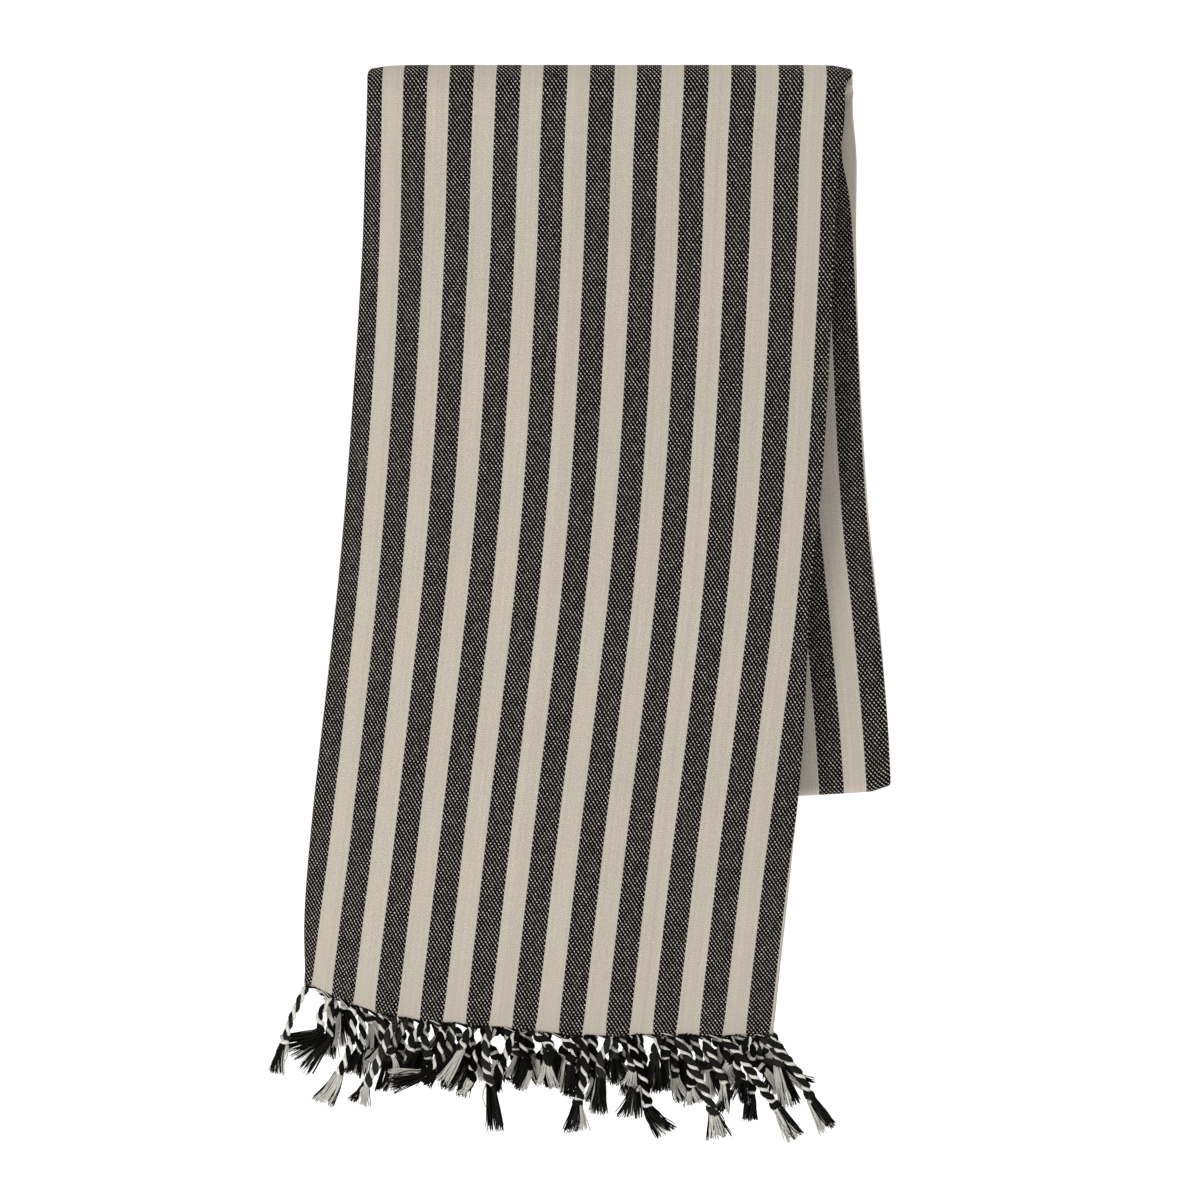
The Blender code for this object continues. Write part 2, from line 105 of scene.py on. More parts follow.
# Each leg's rows, in millimetres: how far below the crest's top, how far the bundle's middle
# has shifted sideways there, and how far its two folded edges reach from that middle.
LegRow = namedtuple("LegRow", "drop shift left right")
LEG_ROWS = {
    "front": rows_of(
        LegRow,
        (0, 0.0, 127.6, 127.0),
        (3, -0.1, 127.3, 126.6),
        (9.5, -0.3, 126.8, 122.7),
        (25, -0.9, 126.5, 122.7),
        (37, -1.4, 126.3, 122.0),
        (47, -1.8, 126.3, 120.5),
        (100, -3.4, 126.3, 119.6),
        (200, -8.6, 127.4, 119.3),
        (270, -14.3, 127.4, 118.5),
        (340, -22.2, 127.1, 122.9),
        (400, -29.5, 126.5, 124.3),
        (460, -36.1, 124.9, 124.4),
        (502, -40.7, 120.6, 124.6),
    ),
    "back": rows_of(
        LegRow,
        (0, 0.0, 127.6, 127.0),
        (5, -0.1, 127.2, 127.9),
        (13, -0.4, 126.5, 127.9),
        (23, -0.8, 126.3, 128.5),
        (45, -1.5, 126.0, 131.0),
        (75, 1.7, 126.4, 127.8),
        (100, 3.2, 126.5, 126.4),
        (150, 5.5, 126.8, 125.4),
        (200, 7.9, 126.5, 125.5),
        (250, 11.3, 125.8, 125.6),
        (300, 16.4, 125.4, 125.7),
        (350, 20.9, 125.0, 125.4),
        (390, 23.6, 125.0, 124.8),
    ),
}
FACING = {"front": -1, "back": 1}
TILT_SPAN = 40 * MM
TILT_FULL = 110 * MM

# The layers over the rail puff up between the two rounded corners of the crest.
CREST_PUFF = 2.9 * MM
CREST_PUFF_DROP = 48 * MM
LEFT_CORNER_REACH = 6 * MM
RIGHT_CORNER_REACH = 5 * MM

# The lower ends aren't straight. In millimetres: the place across, and how much lower it is.
EdgePoint = namedtuple("EdgePoint", "across lower")
WOVEN_EDGE = rows_of(
    EdgePoint,
    (-120, -12.0),
    (-105, -6.7),
    (-90, -2.4),
    (-65, 0.5),
    (-20, -0.3),
    (15, -0.4),
    (40, -2.0),
    (65, -5.5),
    (100, -8.7),
    (125, -12.3),
)
HAIRPIN_EDGE = rows_of(
    EdgePoint,
    (-126, -2.4),
    (-116, -0.3),
    (-60, 0.5),
    (60, -0.4),
    (114, 0.0),
    (120, -0.8),
    (126, -3.4),
)
EDGE_BEND = 120 * MM
HAIRPIN_BEND = 30 * MM

# Soft folds in a leg: depth, width of one whole wave, its phase in turns, slant in turns
# per metre of drop.
Wave = namedtuple("Wave", "depth width phase slant")
LEG_WAVES = {
    "front": (Wave(1.1 * MM, 175 * MM, 0.15, 0.3), Wave(0.5 * MM, 88 * MM, 0.60, -1.1)),
    "back": (Wave(0.9 * MM, 190 * MM, 0.55, -0.4), Wave(0.6 * MM, 97 * MM, 0.20, 1.3)),
}
WAVES_START = 25 * MM
WAVES_FULL = 230 * MM

# Soft creases, listed one by one, in millimetres: the drop and place across of its middle, its
# length and width, how far it stands out (or in, if negative) and its slant in degrees.
Crease = namedtuple("Crease", "side drop across length width out slant")
CREASES = rows_of(
    Crease,
    ("front", 395, -15, 120, 30, -0.9, 4),
    ("front", 432, 35, 70, 24, 0.5, -8),
    ("front", 250, 60, 90, 40, 0.4, -14),
    ("front", 120, -60, 110, 45, 0.4, 20),
    ("front", 476, -70, 45, 16, -0.5, 12),
    ("back", 140, 10, 120, 36, -0.7, 10),
    ("back", 300, -40, 100, 30, 0.8, -15),
    ("back", 345, 60, 60, 22, -0.6, 8),
)

# The folded edges don't follow one warp end, and the cloth turns away there: how far, in
# millimetres, the stripes lie nearer to the middle at each drop, and how fast that dies out.
Drift = namedtuple("Drift", "drop left left_reach right right_reach")
STRIPE_DRIFTS = {
    "front": rows_of(
        Drift,
        (0, 1.7, 14, 2.4, 75),
        (45, 3.0, 22, 1.4, 50),
        (135, 4.6, 22, 1.1, 45),
        (226, 4.7, 19, 1.0, 40),
        (330, 5.8, 25, 0.7, 40),
        (413, 6.0, 34, -0.2, 40),
        (465, 4.6, 30, -0.6, 40),
        (502, 3.6, 28, -0.6, 40),
    ),
    "back": rows_of(
        Drift,
        (0, 1.7, 14, 2.4, 75),
        (60, 1.2, 14, 1.2, 50),
        (226, 0.8, 14, 1.2, 35),
        (330, 0.6, 14, 1.7, 30),
        (390, 0.6, 14, 1.7, 30),
    ),
    "inside": rows_of(
        Drift,
        (0, 1.7, 14, -0.7, 60),
        (44, 1.4, 14, -0.3, 50),
        (62, 1.2, 14, 1.2, 50),
        (226, 0.8, 14, 1.2, 35),
        (330, 0.6, 14, 1.7, 30),
        (502, 0.6, 14, 1.7, 30),
    ),
}

# How far the two loose selvedges stop short of the folded edge beside them
SELVEDGE_INSETS = {3: 4.5 * MM, 4: 3.0 * MM}
SELVEDGE_SWAY = 1.2 * MM
SELVEDGE_SWAY_LENGTH = 310 * MM

# Towards the fringe the warp ends draw together over each dark stripe.
GATHER_REACH = 12 * MM
GATHER_PINCH = 0.5 * MM
GATHER_DROP = 0.8 * MM

# The grid that the cloth is modelled on
LAYER_STEPS = 28
OUTER_FOLD_STEPS = 8
SMALL_FOLD_STEPS = 6
EDGE_STEP = 2 * MM
EDGE_ROWS = 9
LEG_STEP = 8 * MM
TURN_STEPS = 14

# ---------------------------------------------------------------- the fringes' sizes
# Below the cloth the layers of a fringe part from front to back, and each tassel turns from
# straight down to its own lean.
FRINGE_PITCH = 4.0 * MM
FRINGE_SPREAD_DROP = 12 * MM
ROOT_TURN = 4 * MM
KNOT_LENGTH = 4.4 * MM
PATH_STEP = 0.5 * MM
TIE_INSET = 2 * MM

# A cord is a black and an off-white ply, laid round each other. Each pair of values is for
# the thin cords at the left end, whose plies are much alike, and for the thick ones further
# right, where the black ply is the thicker, the off-white one lies deeper beside it, and the
# lay is shorter. The two THICKENS values say where across the one turns into the other.
BLACK_PLY = (1.15 * MM, 1.82 * MM)
WHITE_PLY = (1.00 * MM, 0.94 * MM)
BLACK_NESTING = (0.84, 0.80)
WHITE_NESTING = (0.84, 0.63)
TURNS_A_METRE = (1 / (9.3 * MM), 1 / (7.8 * MM))
TUFT_BLACK_SHARE = (0.53, 0.66)
THICKENS_FROM = -150 * MM
THICKENS_TO = -105 * MM
CORD_START = 0.6 * MM
CORD_FORMED = 3.5 * MM
START_THICKNESS_SHARE = 0.7
START_DEPTH_SHARE = 0.3
PLY_STEP = 0.6 * MM
PLY_SIDES = 8

# At the knot the plies swell, stand apart, turn a little further and wrap at a slant.
KNOT_MARGIN = 0.4 * MM
KNOT_ROUNDING = 0.8
KNOT_ORBIT = 0.12 * MM
KNOT_SWELL = 1.24
KNOT_TURNS = (0.1, 0.6)
KNOT_TILTS = (0.45 * MM, 1.5 * MM)
KNOT_STEP = 0.24 * MM

# The warp ends of a dark stripe, and a few light ones beside it, gather into its cord. They
# meet it below its root, a little to the side that each comes from.
GATHERED_LIGHT_ENDS = 2
LIGHT_END_SHARE = 0.55
GATHERED_YARN_RADIUS = 0.56 * MM
GATHERED_YARN_THICKNESSES = (0.85, 1.15)
GATHERED_YARN_RINGS = 8
HALF_LAYER_GAP = 0.6 * MM
START_ABOVE_EDGE = 0.8 * MM
MEETING_DISTANCES = (0.8 * MM, 2.4 * MM)
MEETING_SPREADS = (0.1 * MM, 1.0 * MM)
MEETING_DEPTHS = (-0.6 * MM, 0.3 * MM)
LEAVING_DROP = 0.3 * MM
LEAVING_SHARE = 0.4
ARRIVING_RISES = (0.3 * MM, 1.2 * MM)
ARRIVING_SHARE = 0.2

# A tuft is the cord's own yarns below its knot. They lie in a few locks and flare towards
# their tips, and a small share strays.
TUFT_YARNS = 62
TUFT_TUCK = 0.8 * MM
TUFT_NECK = 3.9 * MM
TUFT_HALF_DEPTH = 1.9 * MM
TUFT_FLARE = (0.15, 0.85)
TUFT_SWEEP = 1.1 * MM
LOCKS = 5
LOCK_SPREAD = 1.7 * MM
YARN_RADIUS = 0.35 * MM
YARN_TIP_RADIUS = 0.19 * MM
YARN_THICKNESSES = (0.8, 1.15)
YARN_LENGTHS = (0.86, 1.03)
YARN_REACHES_SQUARED = (0.02, 1.3)
YARN_SCATTER = 0.12
YARN_WANDER = 0.25 * MM
YARN_WANDER_TURNS = (0.8, 1.9)
YARN_WANDER_DEPTH_SHARE = 0.4
YARN_CURL = 0.35 * MM
YARN_RINGS = 7
YARN_SIDES = 4
STRAY_SHARE = 0.05
STRAY_LOOSENESS = 4.0

# The tassels that show in front: the end and layer each hangs from, its stripe, the cord's lean
# in degrees at the root, halfway and at the knot (0 is straight down, positive to the right),
# the tuft's lean, the cord's and the tuft's length and the tuft's width at its tip in
# millimetres, and where the tuft's black yarns are (0 in front, 90 right, 180 behind).
Tassel = namedtuple("Tassel", "end layer stripe root middle knot tuft cord tuft_length tip black")
SHOWN_TASSELS = rows_of(
    Tassel,
    ("a", 1, -5, -27, -24, -13, -23, 29, 15, 8, 285),
    ("a", 1, -4, 26, -10, -27, -20, 33, 17, 10, 160),
    ("a", 1, -3, -29, -21, -29, -21, 34, 10, 9, 222),
    ("a", 1, -2, 7, -12, -49, -80, 25, 17, 11, 75),
    ("a", 1, -1, -18, -2, 15, 4, 25, 24, 9, 43),
    ("a", 1, 0, 80, 59, -21, -1, 15, 13, 9, 180),
    ("a", 1, 1, 20, -6, -15, 1, 31, 14, 13, 275),
    ("a", 1, 2, 25, 19, 5, 32, 34, 16, 11, 0),
    ("a", 1, 3, 36, 28, 20, 11, 40, 13, 10, 171),
    ("a", 1, 4, 56, 33, 38, 28, 42, 18, 10, 119),
    ("a", 1, 5, 40, 40, 22, 35, 35, 18, 10, 81),
    ("a", 2, 15, -72, -39, 17, -73, 16, 21, 11, 15),
    ("a", 4, -6, -25, -11, -3, -50, 17, 22, 14, 7),
    ("b", 3, 16, 18, -1, -2, 6, 8, 17, 13, 59),
    ("a", 3, 16, 28, 5, -15, -19, 20, 12, 10, 0),
    ("a", 4, -7, 76, 14, -19, -31, 15, 11, 8, 197),
    ("b", 3, 18, 33, 13, 3, -23, 10, 9, 12, 96),
    ("a", 2, 13, -48, -41, -3, -17, 15, 12, 8, 96),
    ("a", 4, -8, -18, -3, 19, -45, 17, 14, 7, 342),
    ("a", 3, 18, -1, -7, -45, -39, 23, 9, 8, 92),
    ("a", 2, 12, -17, -34, -24, -28, 9, 20, 9, 204),
    ("a", 4, -9, -32, -15, 4, -24, 16, 18, 7, 26),
    ("a", 3, 19, -69, -33, -4, -41, 28, 9, 7, 183),
    ("b", 4, -9, 48, 20, 39, -7, 17, 13, 14, 90),
    ("a", 4, -11, 7, -7, -18, -20, 8, 16, 12, 270),
    ("a", 3, 21, 21, 3, 10, -16, 18, 13, 8, 81),
    ("a", 2, 9, -47, -28, 4, -4, 17, 20, 7, 30),
    ("a", 4, -12, 37, 5, -1, 6, 8, 14, 10, 0),
    ("a", 3, 22, -27, -32, 23, -13, 15, 9, 12, 155),
    ("b", 4, -12, -13, -2, -9, -3, 28, 16, 11, 329),
    ("a", 2, 8, -16, -17, -2, -3, 10, 16, 13, 358),
    ("b", 3, 23, 16, 14, 0, 8, 23, 14, 8, 190),
    ("a", 3, 23, 6, 12, 1, 18, 24, 8, 10, 175),
    ("b", 4, -13, 46, 20, 6, -11, 20, 16, 8, 257),
    ("a", 4, -14, -5, 4, 9, 19, 15, 14, 11, 99),
    ("a", 3, 24, -35, -26, 1, -15, 10, 9, 8, 198),
    ("b", 4, -14, 39, 16, -1, -2, 33, 13, 8, 32),
    ("a", 2, 6, -66, -30, 22, -13, 22, 11, 10, 355),
    ("a", 3, 25, 72, 45, 6, 18, 15, 22, 13, 139),
    ("a", 2, 11, -54, -20, -23, -8, 21, 9, 6, 52),
)

# How far to the right of its dark stripe's edge each layer's cords are tied, in millimetres,
# for each end and layer
TIES = {
    "a": {1: 0.0, 2: 12.0, 3: 5.5, 4: -6.0},
    "b": {1: 2.5, 2: 15.0, 3: -3.0, 4: 9.0},
}

# The other tassels lie curled between them, in degrees and millimetres too. A layer's leans
# go evenly from LEAN_LEFT to LEAN_RIGHT, and stray from that by up to LEAN_RANGES.
LEAN_LEFT = -4
LEAN_RIGHT = 16
LEAN_RANGES = (48, 55, 60, 32)
CORD_LENGTHS = (9, 23)
TUFT_LENGTHS = (12, 17)
TUFT_TIPS = (7.0, 10.5)
CURL_SEEDS = {"a": 110, "b": 83}
YARN_SEEDS = {"a": 5, "b": 8}

# ---------------------------------------------------------------- colours, in linear light
UNDYED_COTTON = (0.524, 0.471, 0.396)
DYED_COTTON = (0.0040, 0.0036, 0.0035)
UNDYED_FRINGE = (0.800, 0.775, 0.700)
DYED_FRINGE = (0.0022, 0.0019, 0.0015)
MOST_FADED_BLACK = 0.034
MOST_FADED_LIGHT = 0.06
BACKDROP_WHITE = (0.93, 0.93, 0.93)
BACKDROP_GLOW = 0.52

# ---------------------------------------------------------------- finishes
# The weave: sizes as shares of a warp end's and a pick's width, heights as shares of the bump's
OVAL_HALF_WIDTHS = (0.28, 0.44)
OVAL_HALF_LENGTH = 0.28
OVAL_EDGE = (0.75, 1.25)
OVAL_SLANTS = (0.1, 1.3)
OVAL_TINT = (0.95, 0.97, 1.03)
# Painted shade in the grooves between warp ends: where it starts and where it is full, from an
# end's middle
GROOVE_SHADE_EDGE = (0.34, 0.52)
WARP_ROUNDNESS = 0.9
FLOAT_ROUNDNESS = 0.8
WARP_HEIGHTS = (0.35, 1.0)
WEFT_HEIGHT = 0.75
FIBRE_HEIGHT = 0.35

# How much each effect darkens and lightens the yarn
OVAL_TONES = (0.70, 1.32)
END_TONES = (0.95, 1.04)
PICK_TONES = (0.96, 1.03)
STREAK_TONES = (0.95, 1.05)
MOTTLE_TONES = (0.965, 1.035)
FIBRE_TONES = (0.93, 1.07)
DYED_FIBRE_TONES = (0.6, 1.5)
# Painted shade: a warp end is darker towards its sides, in the grooves between ends
PAINTED_GROOVE_SHADE_TONES = (1.0, 0.90)
LINE_TONES = (0.80, 1.10)
FUZZ_TONES = (0.80, 1.20)
PATCH_TONES = (0.85, 1.15)

# How fine the noise is: in the cloth for each end and each pick, in the fringe a metre
STREAK_GRAIN = (0.9, 0.035)
MOTTLE_GRAIN = (0.022, 0.022)
FIBRE_GRAIN = (3.1, 2.2)
FUZZ_GRAIN = 1400.0
PATCH_GRAIN = 160.0

# The count of ends and picks starts well outside the towel, so that no number is negative,
# and the stride keeps crossings that have the same number well apart.
ENDS_BEFORE = STRIPE_ENDS * 20
PICKS_BEFORE = 10.0
CROSSING_STRIDE = 61.0

# Fine lines wind round a strand of the fringe: how many side by side, and how far apart along it
FINE_LINES = 7.0
FINE_LINE_SPACING = 6.5 * MM
FUZZ_HEIGHT = 0.8
Bump = namedtuple("Bump", "strength distance")
WEAVE_BUMP = Bump(0.55, 0.25 * MM)
YARN_BUMP = Bump(0.6, 0.2 * MM)

# ---------------------------------------------------------------- camera and stage
SCALE_AT_FRONT = 0.52 * MM
PHOTO_SIZE = 1200
LENS = 100
SENSOR = 36
CAMERA_DISTANCE = PHOTO_SIZE * SCALE_AT_FRONT * LENS / SENSOR
CAMERA_X = -5.72 * MM
CAMERA_Z = -267.5 * MM
FRONT_FACE_Y = -15.6 * MM
FLOOR_GAP = 60 * MM
FLOOR_SIZE = 9.0
FLOOR_MIDDLE_Y = -1.9
WALL_HEIGHT = 5.0
SWEEP_WIDTH = 1.2
SWEEP_STEPS = 16
SoftLight = namedtuple("SoftLight", "name location size power")
KEY_LIGHT = SoftLight("key_light", (-0.8, -1.3, -0.15), 0.55, 8.8)
LOW_FILL = SoftLight("low_fill", (0.4, -2.6, -0.5), 1.8, 7)
TOP_LIGHT = SoftLight("top_light", (0.5, -0.1, 1.1), 0.7, 10)
SURROUNDING_LIGHT = 0.26

Station = namedtuple("Station", "side drop centre across out left right")


# ---------------------------------------------------------------- the shape the towel hangs in
def smooth_table(rows, at, column):
    """Read a column of a table between its rows, on a smooth curve through them."""
    keys = [row[0] * MM for row in rows]
    values = [getattr(row, column) * MM for row in rows]
    at = min(max(at, keys[0]), keys[-1])
    index = max(i for i in range(len(keys) - 1) if keys[i] <= at)

    def slope(i):
        low = max(i - 1, 0)
        high = min(i + 1, len(keys) - 1)
        return (values[high] - values[low]) / (keys[high] - keys[low])

    span = keys[index + 1] - keys[index]
    t = (at - keys[index]) / span
    rise = values[index + 1] - values[index]
    blend = t * t * (3 - 2 * t)
    start = slope(index) * span * t * (1 - t) ** 2
    end = slope(index + 1) * span * t * t * (1 - t)
    return values[index] + rise * blend + start - end


def ease(value):
    value = min(max(value, 0.0), 1.0)
    return value * value * (3 - 2 * value)


def row_tilt(side, drop):
    """A row stays square to the bundle's middle line, but lies along the rail at the crest."""
    rows = LEG_ROWS[side]
    above = max(drop - TILT_SPAN, 0.0)
    below = min(drop + TILT_SPAN, rows[-1].drop * MM)
    sideways = smooth_table(rows, below, "shift") - smooth_table(rows, above, "shift")
    return -sideways / (below - above) * ease((drop - OUTER_RADIUS) / TILT_FULL)


def fold_wave(side, drop, across):
    """How far the soft folds move a leg's whole bundle outwards, away from the other leg."""
    fade = ease((drop - WAVES_START) / (WAVES_FULL - WAVES_START))
    return fade * sum(
        wave.depth
        * (1 + math.sin(math.tau * (across / wave.width + wave.phase + wave.slant * drop)))
        for wave in LEG_WAVES[side]
    )


def crease_out(side, drop, across):
    """How far the soft creases move the cloth out at a place."""
    out = 0.0
    for crease in CREASES:
        if crease.side != side:
            continue
        turn = math.radians(crease.slant)
        right = across / MM - crease.across
        down = drop / MM - crease.drop
        along = (right * math.cos(turn) + down * math.sin(turn)) / (crease.length / 2)
        aside = (down * math.cos(turn) - right * math.sin(turn)) / (crease.width / 2)
        out += crease.out * MM * math.exp(-along * along - aside * aside)
    return out


def edge_lower(side, drop, across):
    """The lower ends' own unevenness, which dies out up each leg."""
    end, bend, points = FRONT_DROP, EDGE_BEND, WOVEN_EDGE
    if side == "back":
        end, bend, points = BACK_DROP, HAIRPIN_BEND, HAIRPIN_EDGE
    near = min(max((drop - (end - bend)) / bend, 0.0), 1.0)
    return near * near * smooth_table(points, across, "lower")


def faces_outwards(station):
    return FACING[station.side] * station.out.y + station.out.z > 0


def crest_puff(station, across, height):
    """How far the layers over the rail stand out beyond even turns, most on the outside."""
    outwards = 1 if faces_outwards(station) else -1
    share = (SPINE_RADIUS + outwards * height - HOLLOW_RADIUS) / (OUTER_RADIUS - HOLLOW_RADIUS)
    fade = 1 - ease(station.drop / CREST_PUFF_DROP)
    left_corner = math.exp(-max(station.left + across, 0.0) / LEFT_CORNER_REACH)
    right_corner = math.exp(-max(station.right - across, 0.0) / RIGHT_CORNER_REACH)
    return outwards * CREST_PUFF * share * fade * (1 - left_corner - right_corner)


def leg_station(side, drop):
    """A row of a leg, or of the crest: its middle on the spine, between the two bundles."""
    rows = LEG_ROWS[side]
    tilt = row_tilt(side, drop)
    turn = 0.0
    if drop < OUTER_RADIUS:
        turn = math.asin(1 - drop / OUTER_RADIUS)
    out = Vector((0, FACING[side] * math.cos(turn), math.sin(turn)))
    hinge_drop = max(drop, OUTER_RADIUS)
    hinge = Vector((smooth_table(rows, drop, "shift"), 0, CREST_TOP - hinge_drop))
    return Station(
        side, drop,
        hinge + out * SPINE_RADIUS,
        Vector((math.cos(tilt), 0, -math.sin(tilt))),
        out,
        smooth_table(rows, drop, "left"),
        smooth_table(rows, drop, "right"),
    )


def down_the_row(station):
    return Vector((station.across.z, 0, -station.across.x))


def crest_drops():
    """Drops on one side of the crest that make equal turns round the rail."""
    half_steps = TURN_STEPS // 2
    quarter = math.pi / 2
    return [OUTER_RADIUS * (1 - math.cos(quarter * i / half_steps)) for i in range(half_steps + 1)]


def even_drops(first, last, step):
    count = max(round((last - first) / step), 1)
    return [first + (last - first) * i / count for i in range(1, count + 1)]


def hanging_rows(front_drop):
    """The rows of one bundle: from its woven end up the front, over the crest, down the back."""
    edge_top = front_drop - EDGE_ROWS * EDGE_STEP
    front = crest_drops() + even_drops(OUTER_RADIUS, edge_top, LEG_STEP)
    front += even_drops(edge_top, front_drop, EDGE_STEP)
    back = crest_drops()[1:] + even_drops(OUTER_RADIUS, BACK_DROP, LEG_STEP)
    rows = [leg_station("front", drop) for drop in reversed(front)]
    return rows + [leg_station("back", drop) for drop in back]


def hairpin_rows():
    """The rows round the fold at the foot of the back leg, from the outside inwards."""
    foot = leg_station("back", BACK_DROP)
    down = down_the_row(foot)
    rows = []
    for i in range(1, TURN_STEPS):
        turn = math.pi * i / TURN_STEPS
        rows.append(foot._replace(out=foot.out * math.cos(turn) + down * math.sin(turn)))
    return rows


def turned_in(station):
    return station._replace(out=-station.out)


def cloth_rows():
    """Every row of the cloth, from end A round the hairpin to end B."""
    outer = hanging_rows(FRONT_DROP)
    inner = hanging_rows(FRONT_DROP - END_B_SHORTER)
    return outer + hairpin_rows() + [turned_in(row) for row in reversed(inner)]


def woven_edge(end):
    """The last row of an end's cloth, where its cords start."""
    if end == "a":
        return leg_station("front", FRONT_DROP)
    return turned_in(leg_station("front", FRONT_DROP - END_B_SHORTER))


# ---------------------------------------------------------------- the folded width
def fold_arc(across, height, radius, steps, side):
    """Points round a fold, from the deeper layer to the outer one; side is -1 on the left."""
    points = []
    for i in range(1, steps):
        turn = math.pi * i / steps
        points.append((across + side * radius * math.sin(turn), height - radius * math.cos(turn)))
    return points


def layer_run(start, end, height):
    return [(start + (end - start) * i / LAYER_STEPS, height) for i in range(LAYER_STEPS + 1)]


def folded_section(station):
    """The cloth's width as it lies folded: places across, heights off the spine, and the
    distance of each from the right-hand selvedge on the flat towel.

    It runs from one selvedge along layer 4, round the left-hand fold to layer 1, which faces
    outwards, round the right-hand fold to layer 2, and round a small fold inside the
    left-hand one to layer 3, which ends in the other selvedge.
    """
    heights = {layer: (LAYERS + 0.5 - layer) * LAYER_PITCH for layer in range(1, LAYERS + 1)}
    sway = SELVEDGE_SWAY * math.sin(math.tau * station.drop / SELVEDGE_SWAY_LENGTH)
    half = SOLID_THICKNESS / 2
    left_fold = -station.left + half + OUTER_FOLD_RADIUS
    right_fold = station.right - half - SMALL_FOLD_RADIUS
    selvedge_4 = station.right - SELVEDGE_INSETS[4] + sway
    selvedge_3 = station.right - SELVEDGE_INSETS[3] - sway
    middle = 2 * LAYER_PITCH
    outer_arc = fold_arc(left_fold, middle, OUTER_FOLD_RADIUS, OUTER_FOLD_STEPS, -1)
    right_arc = fold_arc(right_fold, 3 * LAYER_PITCH, SMALL_FOLD_RADIUS, SMALL_FOLD_STEPS, 1)
    inner_arc = fold_arc(left_fold, middle, SMALL_FOLD_RADIUS, SMALL_FOLD_STEPS, -1)
    section = layer_run(selvedge_4, left_fold, heights[4]) + outer_arc
    layer_1 = len(section)
    section += layer_run(left_fold, right_fold, heights[1]) + right_arc[::-1]
    section += layer_run(right_fold, left_fold, heights[2]) + inner_arc[::-1]
    section += layer_run(left_fold, selvedge_3, heights[3])
    section = np.array(section)
    steps = np.hypot(*np.diff(section, axis=0).T)
    lengths = np.concatenate([[0.0], np.cumsum(steps)])
    widths = lengths - lengths[layer_1] + section[layer_1][0] + LAYER_1_MIDDLE
    return section[:, 0], section[:, 1], widths


def stripe_drift(station, width):
    """How far a stripe at a place of the flat width is shifted to the right there."""
    rows = STRIPE_DRIFTS[station.side if faces_outwards(station) else "inside"]
    left, left_reach, right, right_reach = (
        smooth_table(rows, station.drop, column)
        for column in ("left", "left_reach", "right", "right_reach")
    )
    from_left = abs(width - (LAYER_1_MIDDLE - station.left))
    from_right = abs(width - (LAYER_1_MIDDLE + station.right))
    return left * math.exp(-from_left / left_reach) + right * math.exp(-from_right / right_reach)


def edge_draw(station, width):
    """How far the gathering warp ends move the cloth right and down near a woven end."""
    if station.side == "back":
        return 0.0, 0.0
    near = ease((station.drop - (FRONT_DROP - GATHER_REACH)) / GATHER_REACH) ** 2
    turn = math.tau * (width - LAYER_1_MIDDLE - STRIPE_OFFSET) / STRIPE_PERIOD
    return -near * GATHER_PINCH * math.sin(turn), near * GATHER_DROP * math.cos(turn)


def place(station, across, height, width=None):
    """A point of the bundle: across the row, and off the spine along the row's own side."""
    lower = edge_lower(station.side, station.drop, across)
    if width is not None:
        right, down = edge_draw(station, width)
        across += right
        lower += down
    height += crest_puff(station, across, height)
    point = station.centre + station.across * across + station.out * height
    point += down_the_row(station) * lower
    out = fold_wave(station.side, station.drop, across)
    if width is not None:
        out += crease_out(station.side, station.drop, across)
    point.y += FACING[station.side] * out
    return point


# ---------------------------------------------------------------- the cloth
def cloth_piece(material):
    """The whole towel as one thin sheet. Its UV map is the flat towel, in metres."""
    vertices = []
    uvs = []
    length = 0.0
    before = None
    for station in cloth_rows():
        middle = station.centre + station.out * OUTER_LAYER
        if before is not None:
            length += (middle - before).length
        before = middle
        for across, height, width in zip(*folded_section(station)):
            vertices.append(place(station, across, height, width))
            uvs.append((width - stripe_drift(station, width), length))
    columns = 4 * (LAYER_STEPS + 1) + OUTER_FOLD_STEPS + 2 * SMALL_FOLD_STEPS - 3
    rows = len(vertices) // columns
    faces = []
    for row in range(rows - 1):
        for column in range(columns - 1):
            first = row * columns + column
            faces.append((first, first + 1, first + columns + 1, first + columns))
    mesh = bpy.data.meshes.new("towel_cloth")
    mesh.from_pydata(vertices, [], faces)
    layer = mesh.uv_layers.new(name="flat_towel")
    corners = np.array(uvs)[np.array(faces).ravel()]
    layer.data.foreach_set("uv", corners.ravel())
    mesh.shade_smooth()
    mesh.materials.append(material)
    cloth = bpy.data.objects.new("towel_cloth", mesh)
    bpy.context.scene.collection.objects.link(cloth)
    thick = cloth.modifiers.new("Thickness", "SOLIDIFY")
    thick.thickness = CLOTH_THICKNESS
    thick.offset = 0.0
    return cloth


# ---------------------------------------------------------------- where the tassels hang
def stripe_edge(stripe):
    """Where a dark stripe's right-hand edge lies across the whole cloth's width."""
    return LAYER_1_MIDDLE + STRIPE_OFFSET + stripe * STRIPE_PERIOD + DARK_STRIPE / 2


def tie_offset(end, layer):
    """A layer's own shift of its cords, along the cloth's width as that layer runs."""
    right = TIES[end][layer] * MM
    return right if layer in LAYERS_RUNNING_RIGHT else -right


def on_section(section, width):
    """The place across and the height of a point of the flat towel's width."""
    across, heights, widths = section
    width = min(max(width, widths[0] + TIE_INSET), widths[-1] - TIE_INSET)
    return float(np.interp(width, widths, across)), float(np.interp(width, widths, heights))


def layer_stripes(layer):
    """The stripes whose cords hang from a layer, from left to right."""
    first, last = LAYER_STRIPES[layer]
    stripes = list(range(first, last + 1))
    if layer not in LAYERS_RUNNING_RIGHT:
        stripes.reverse()
    return stripes


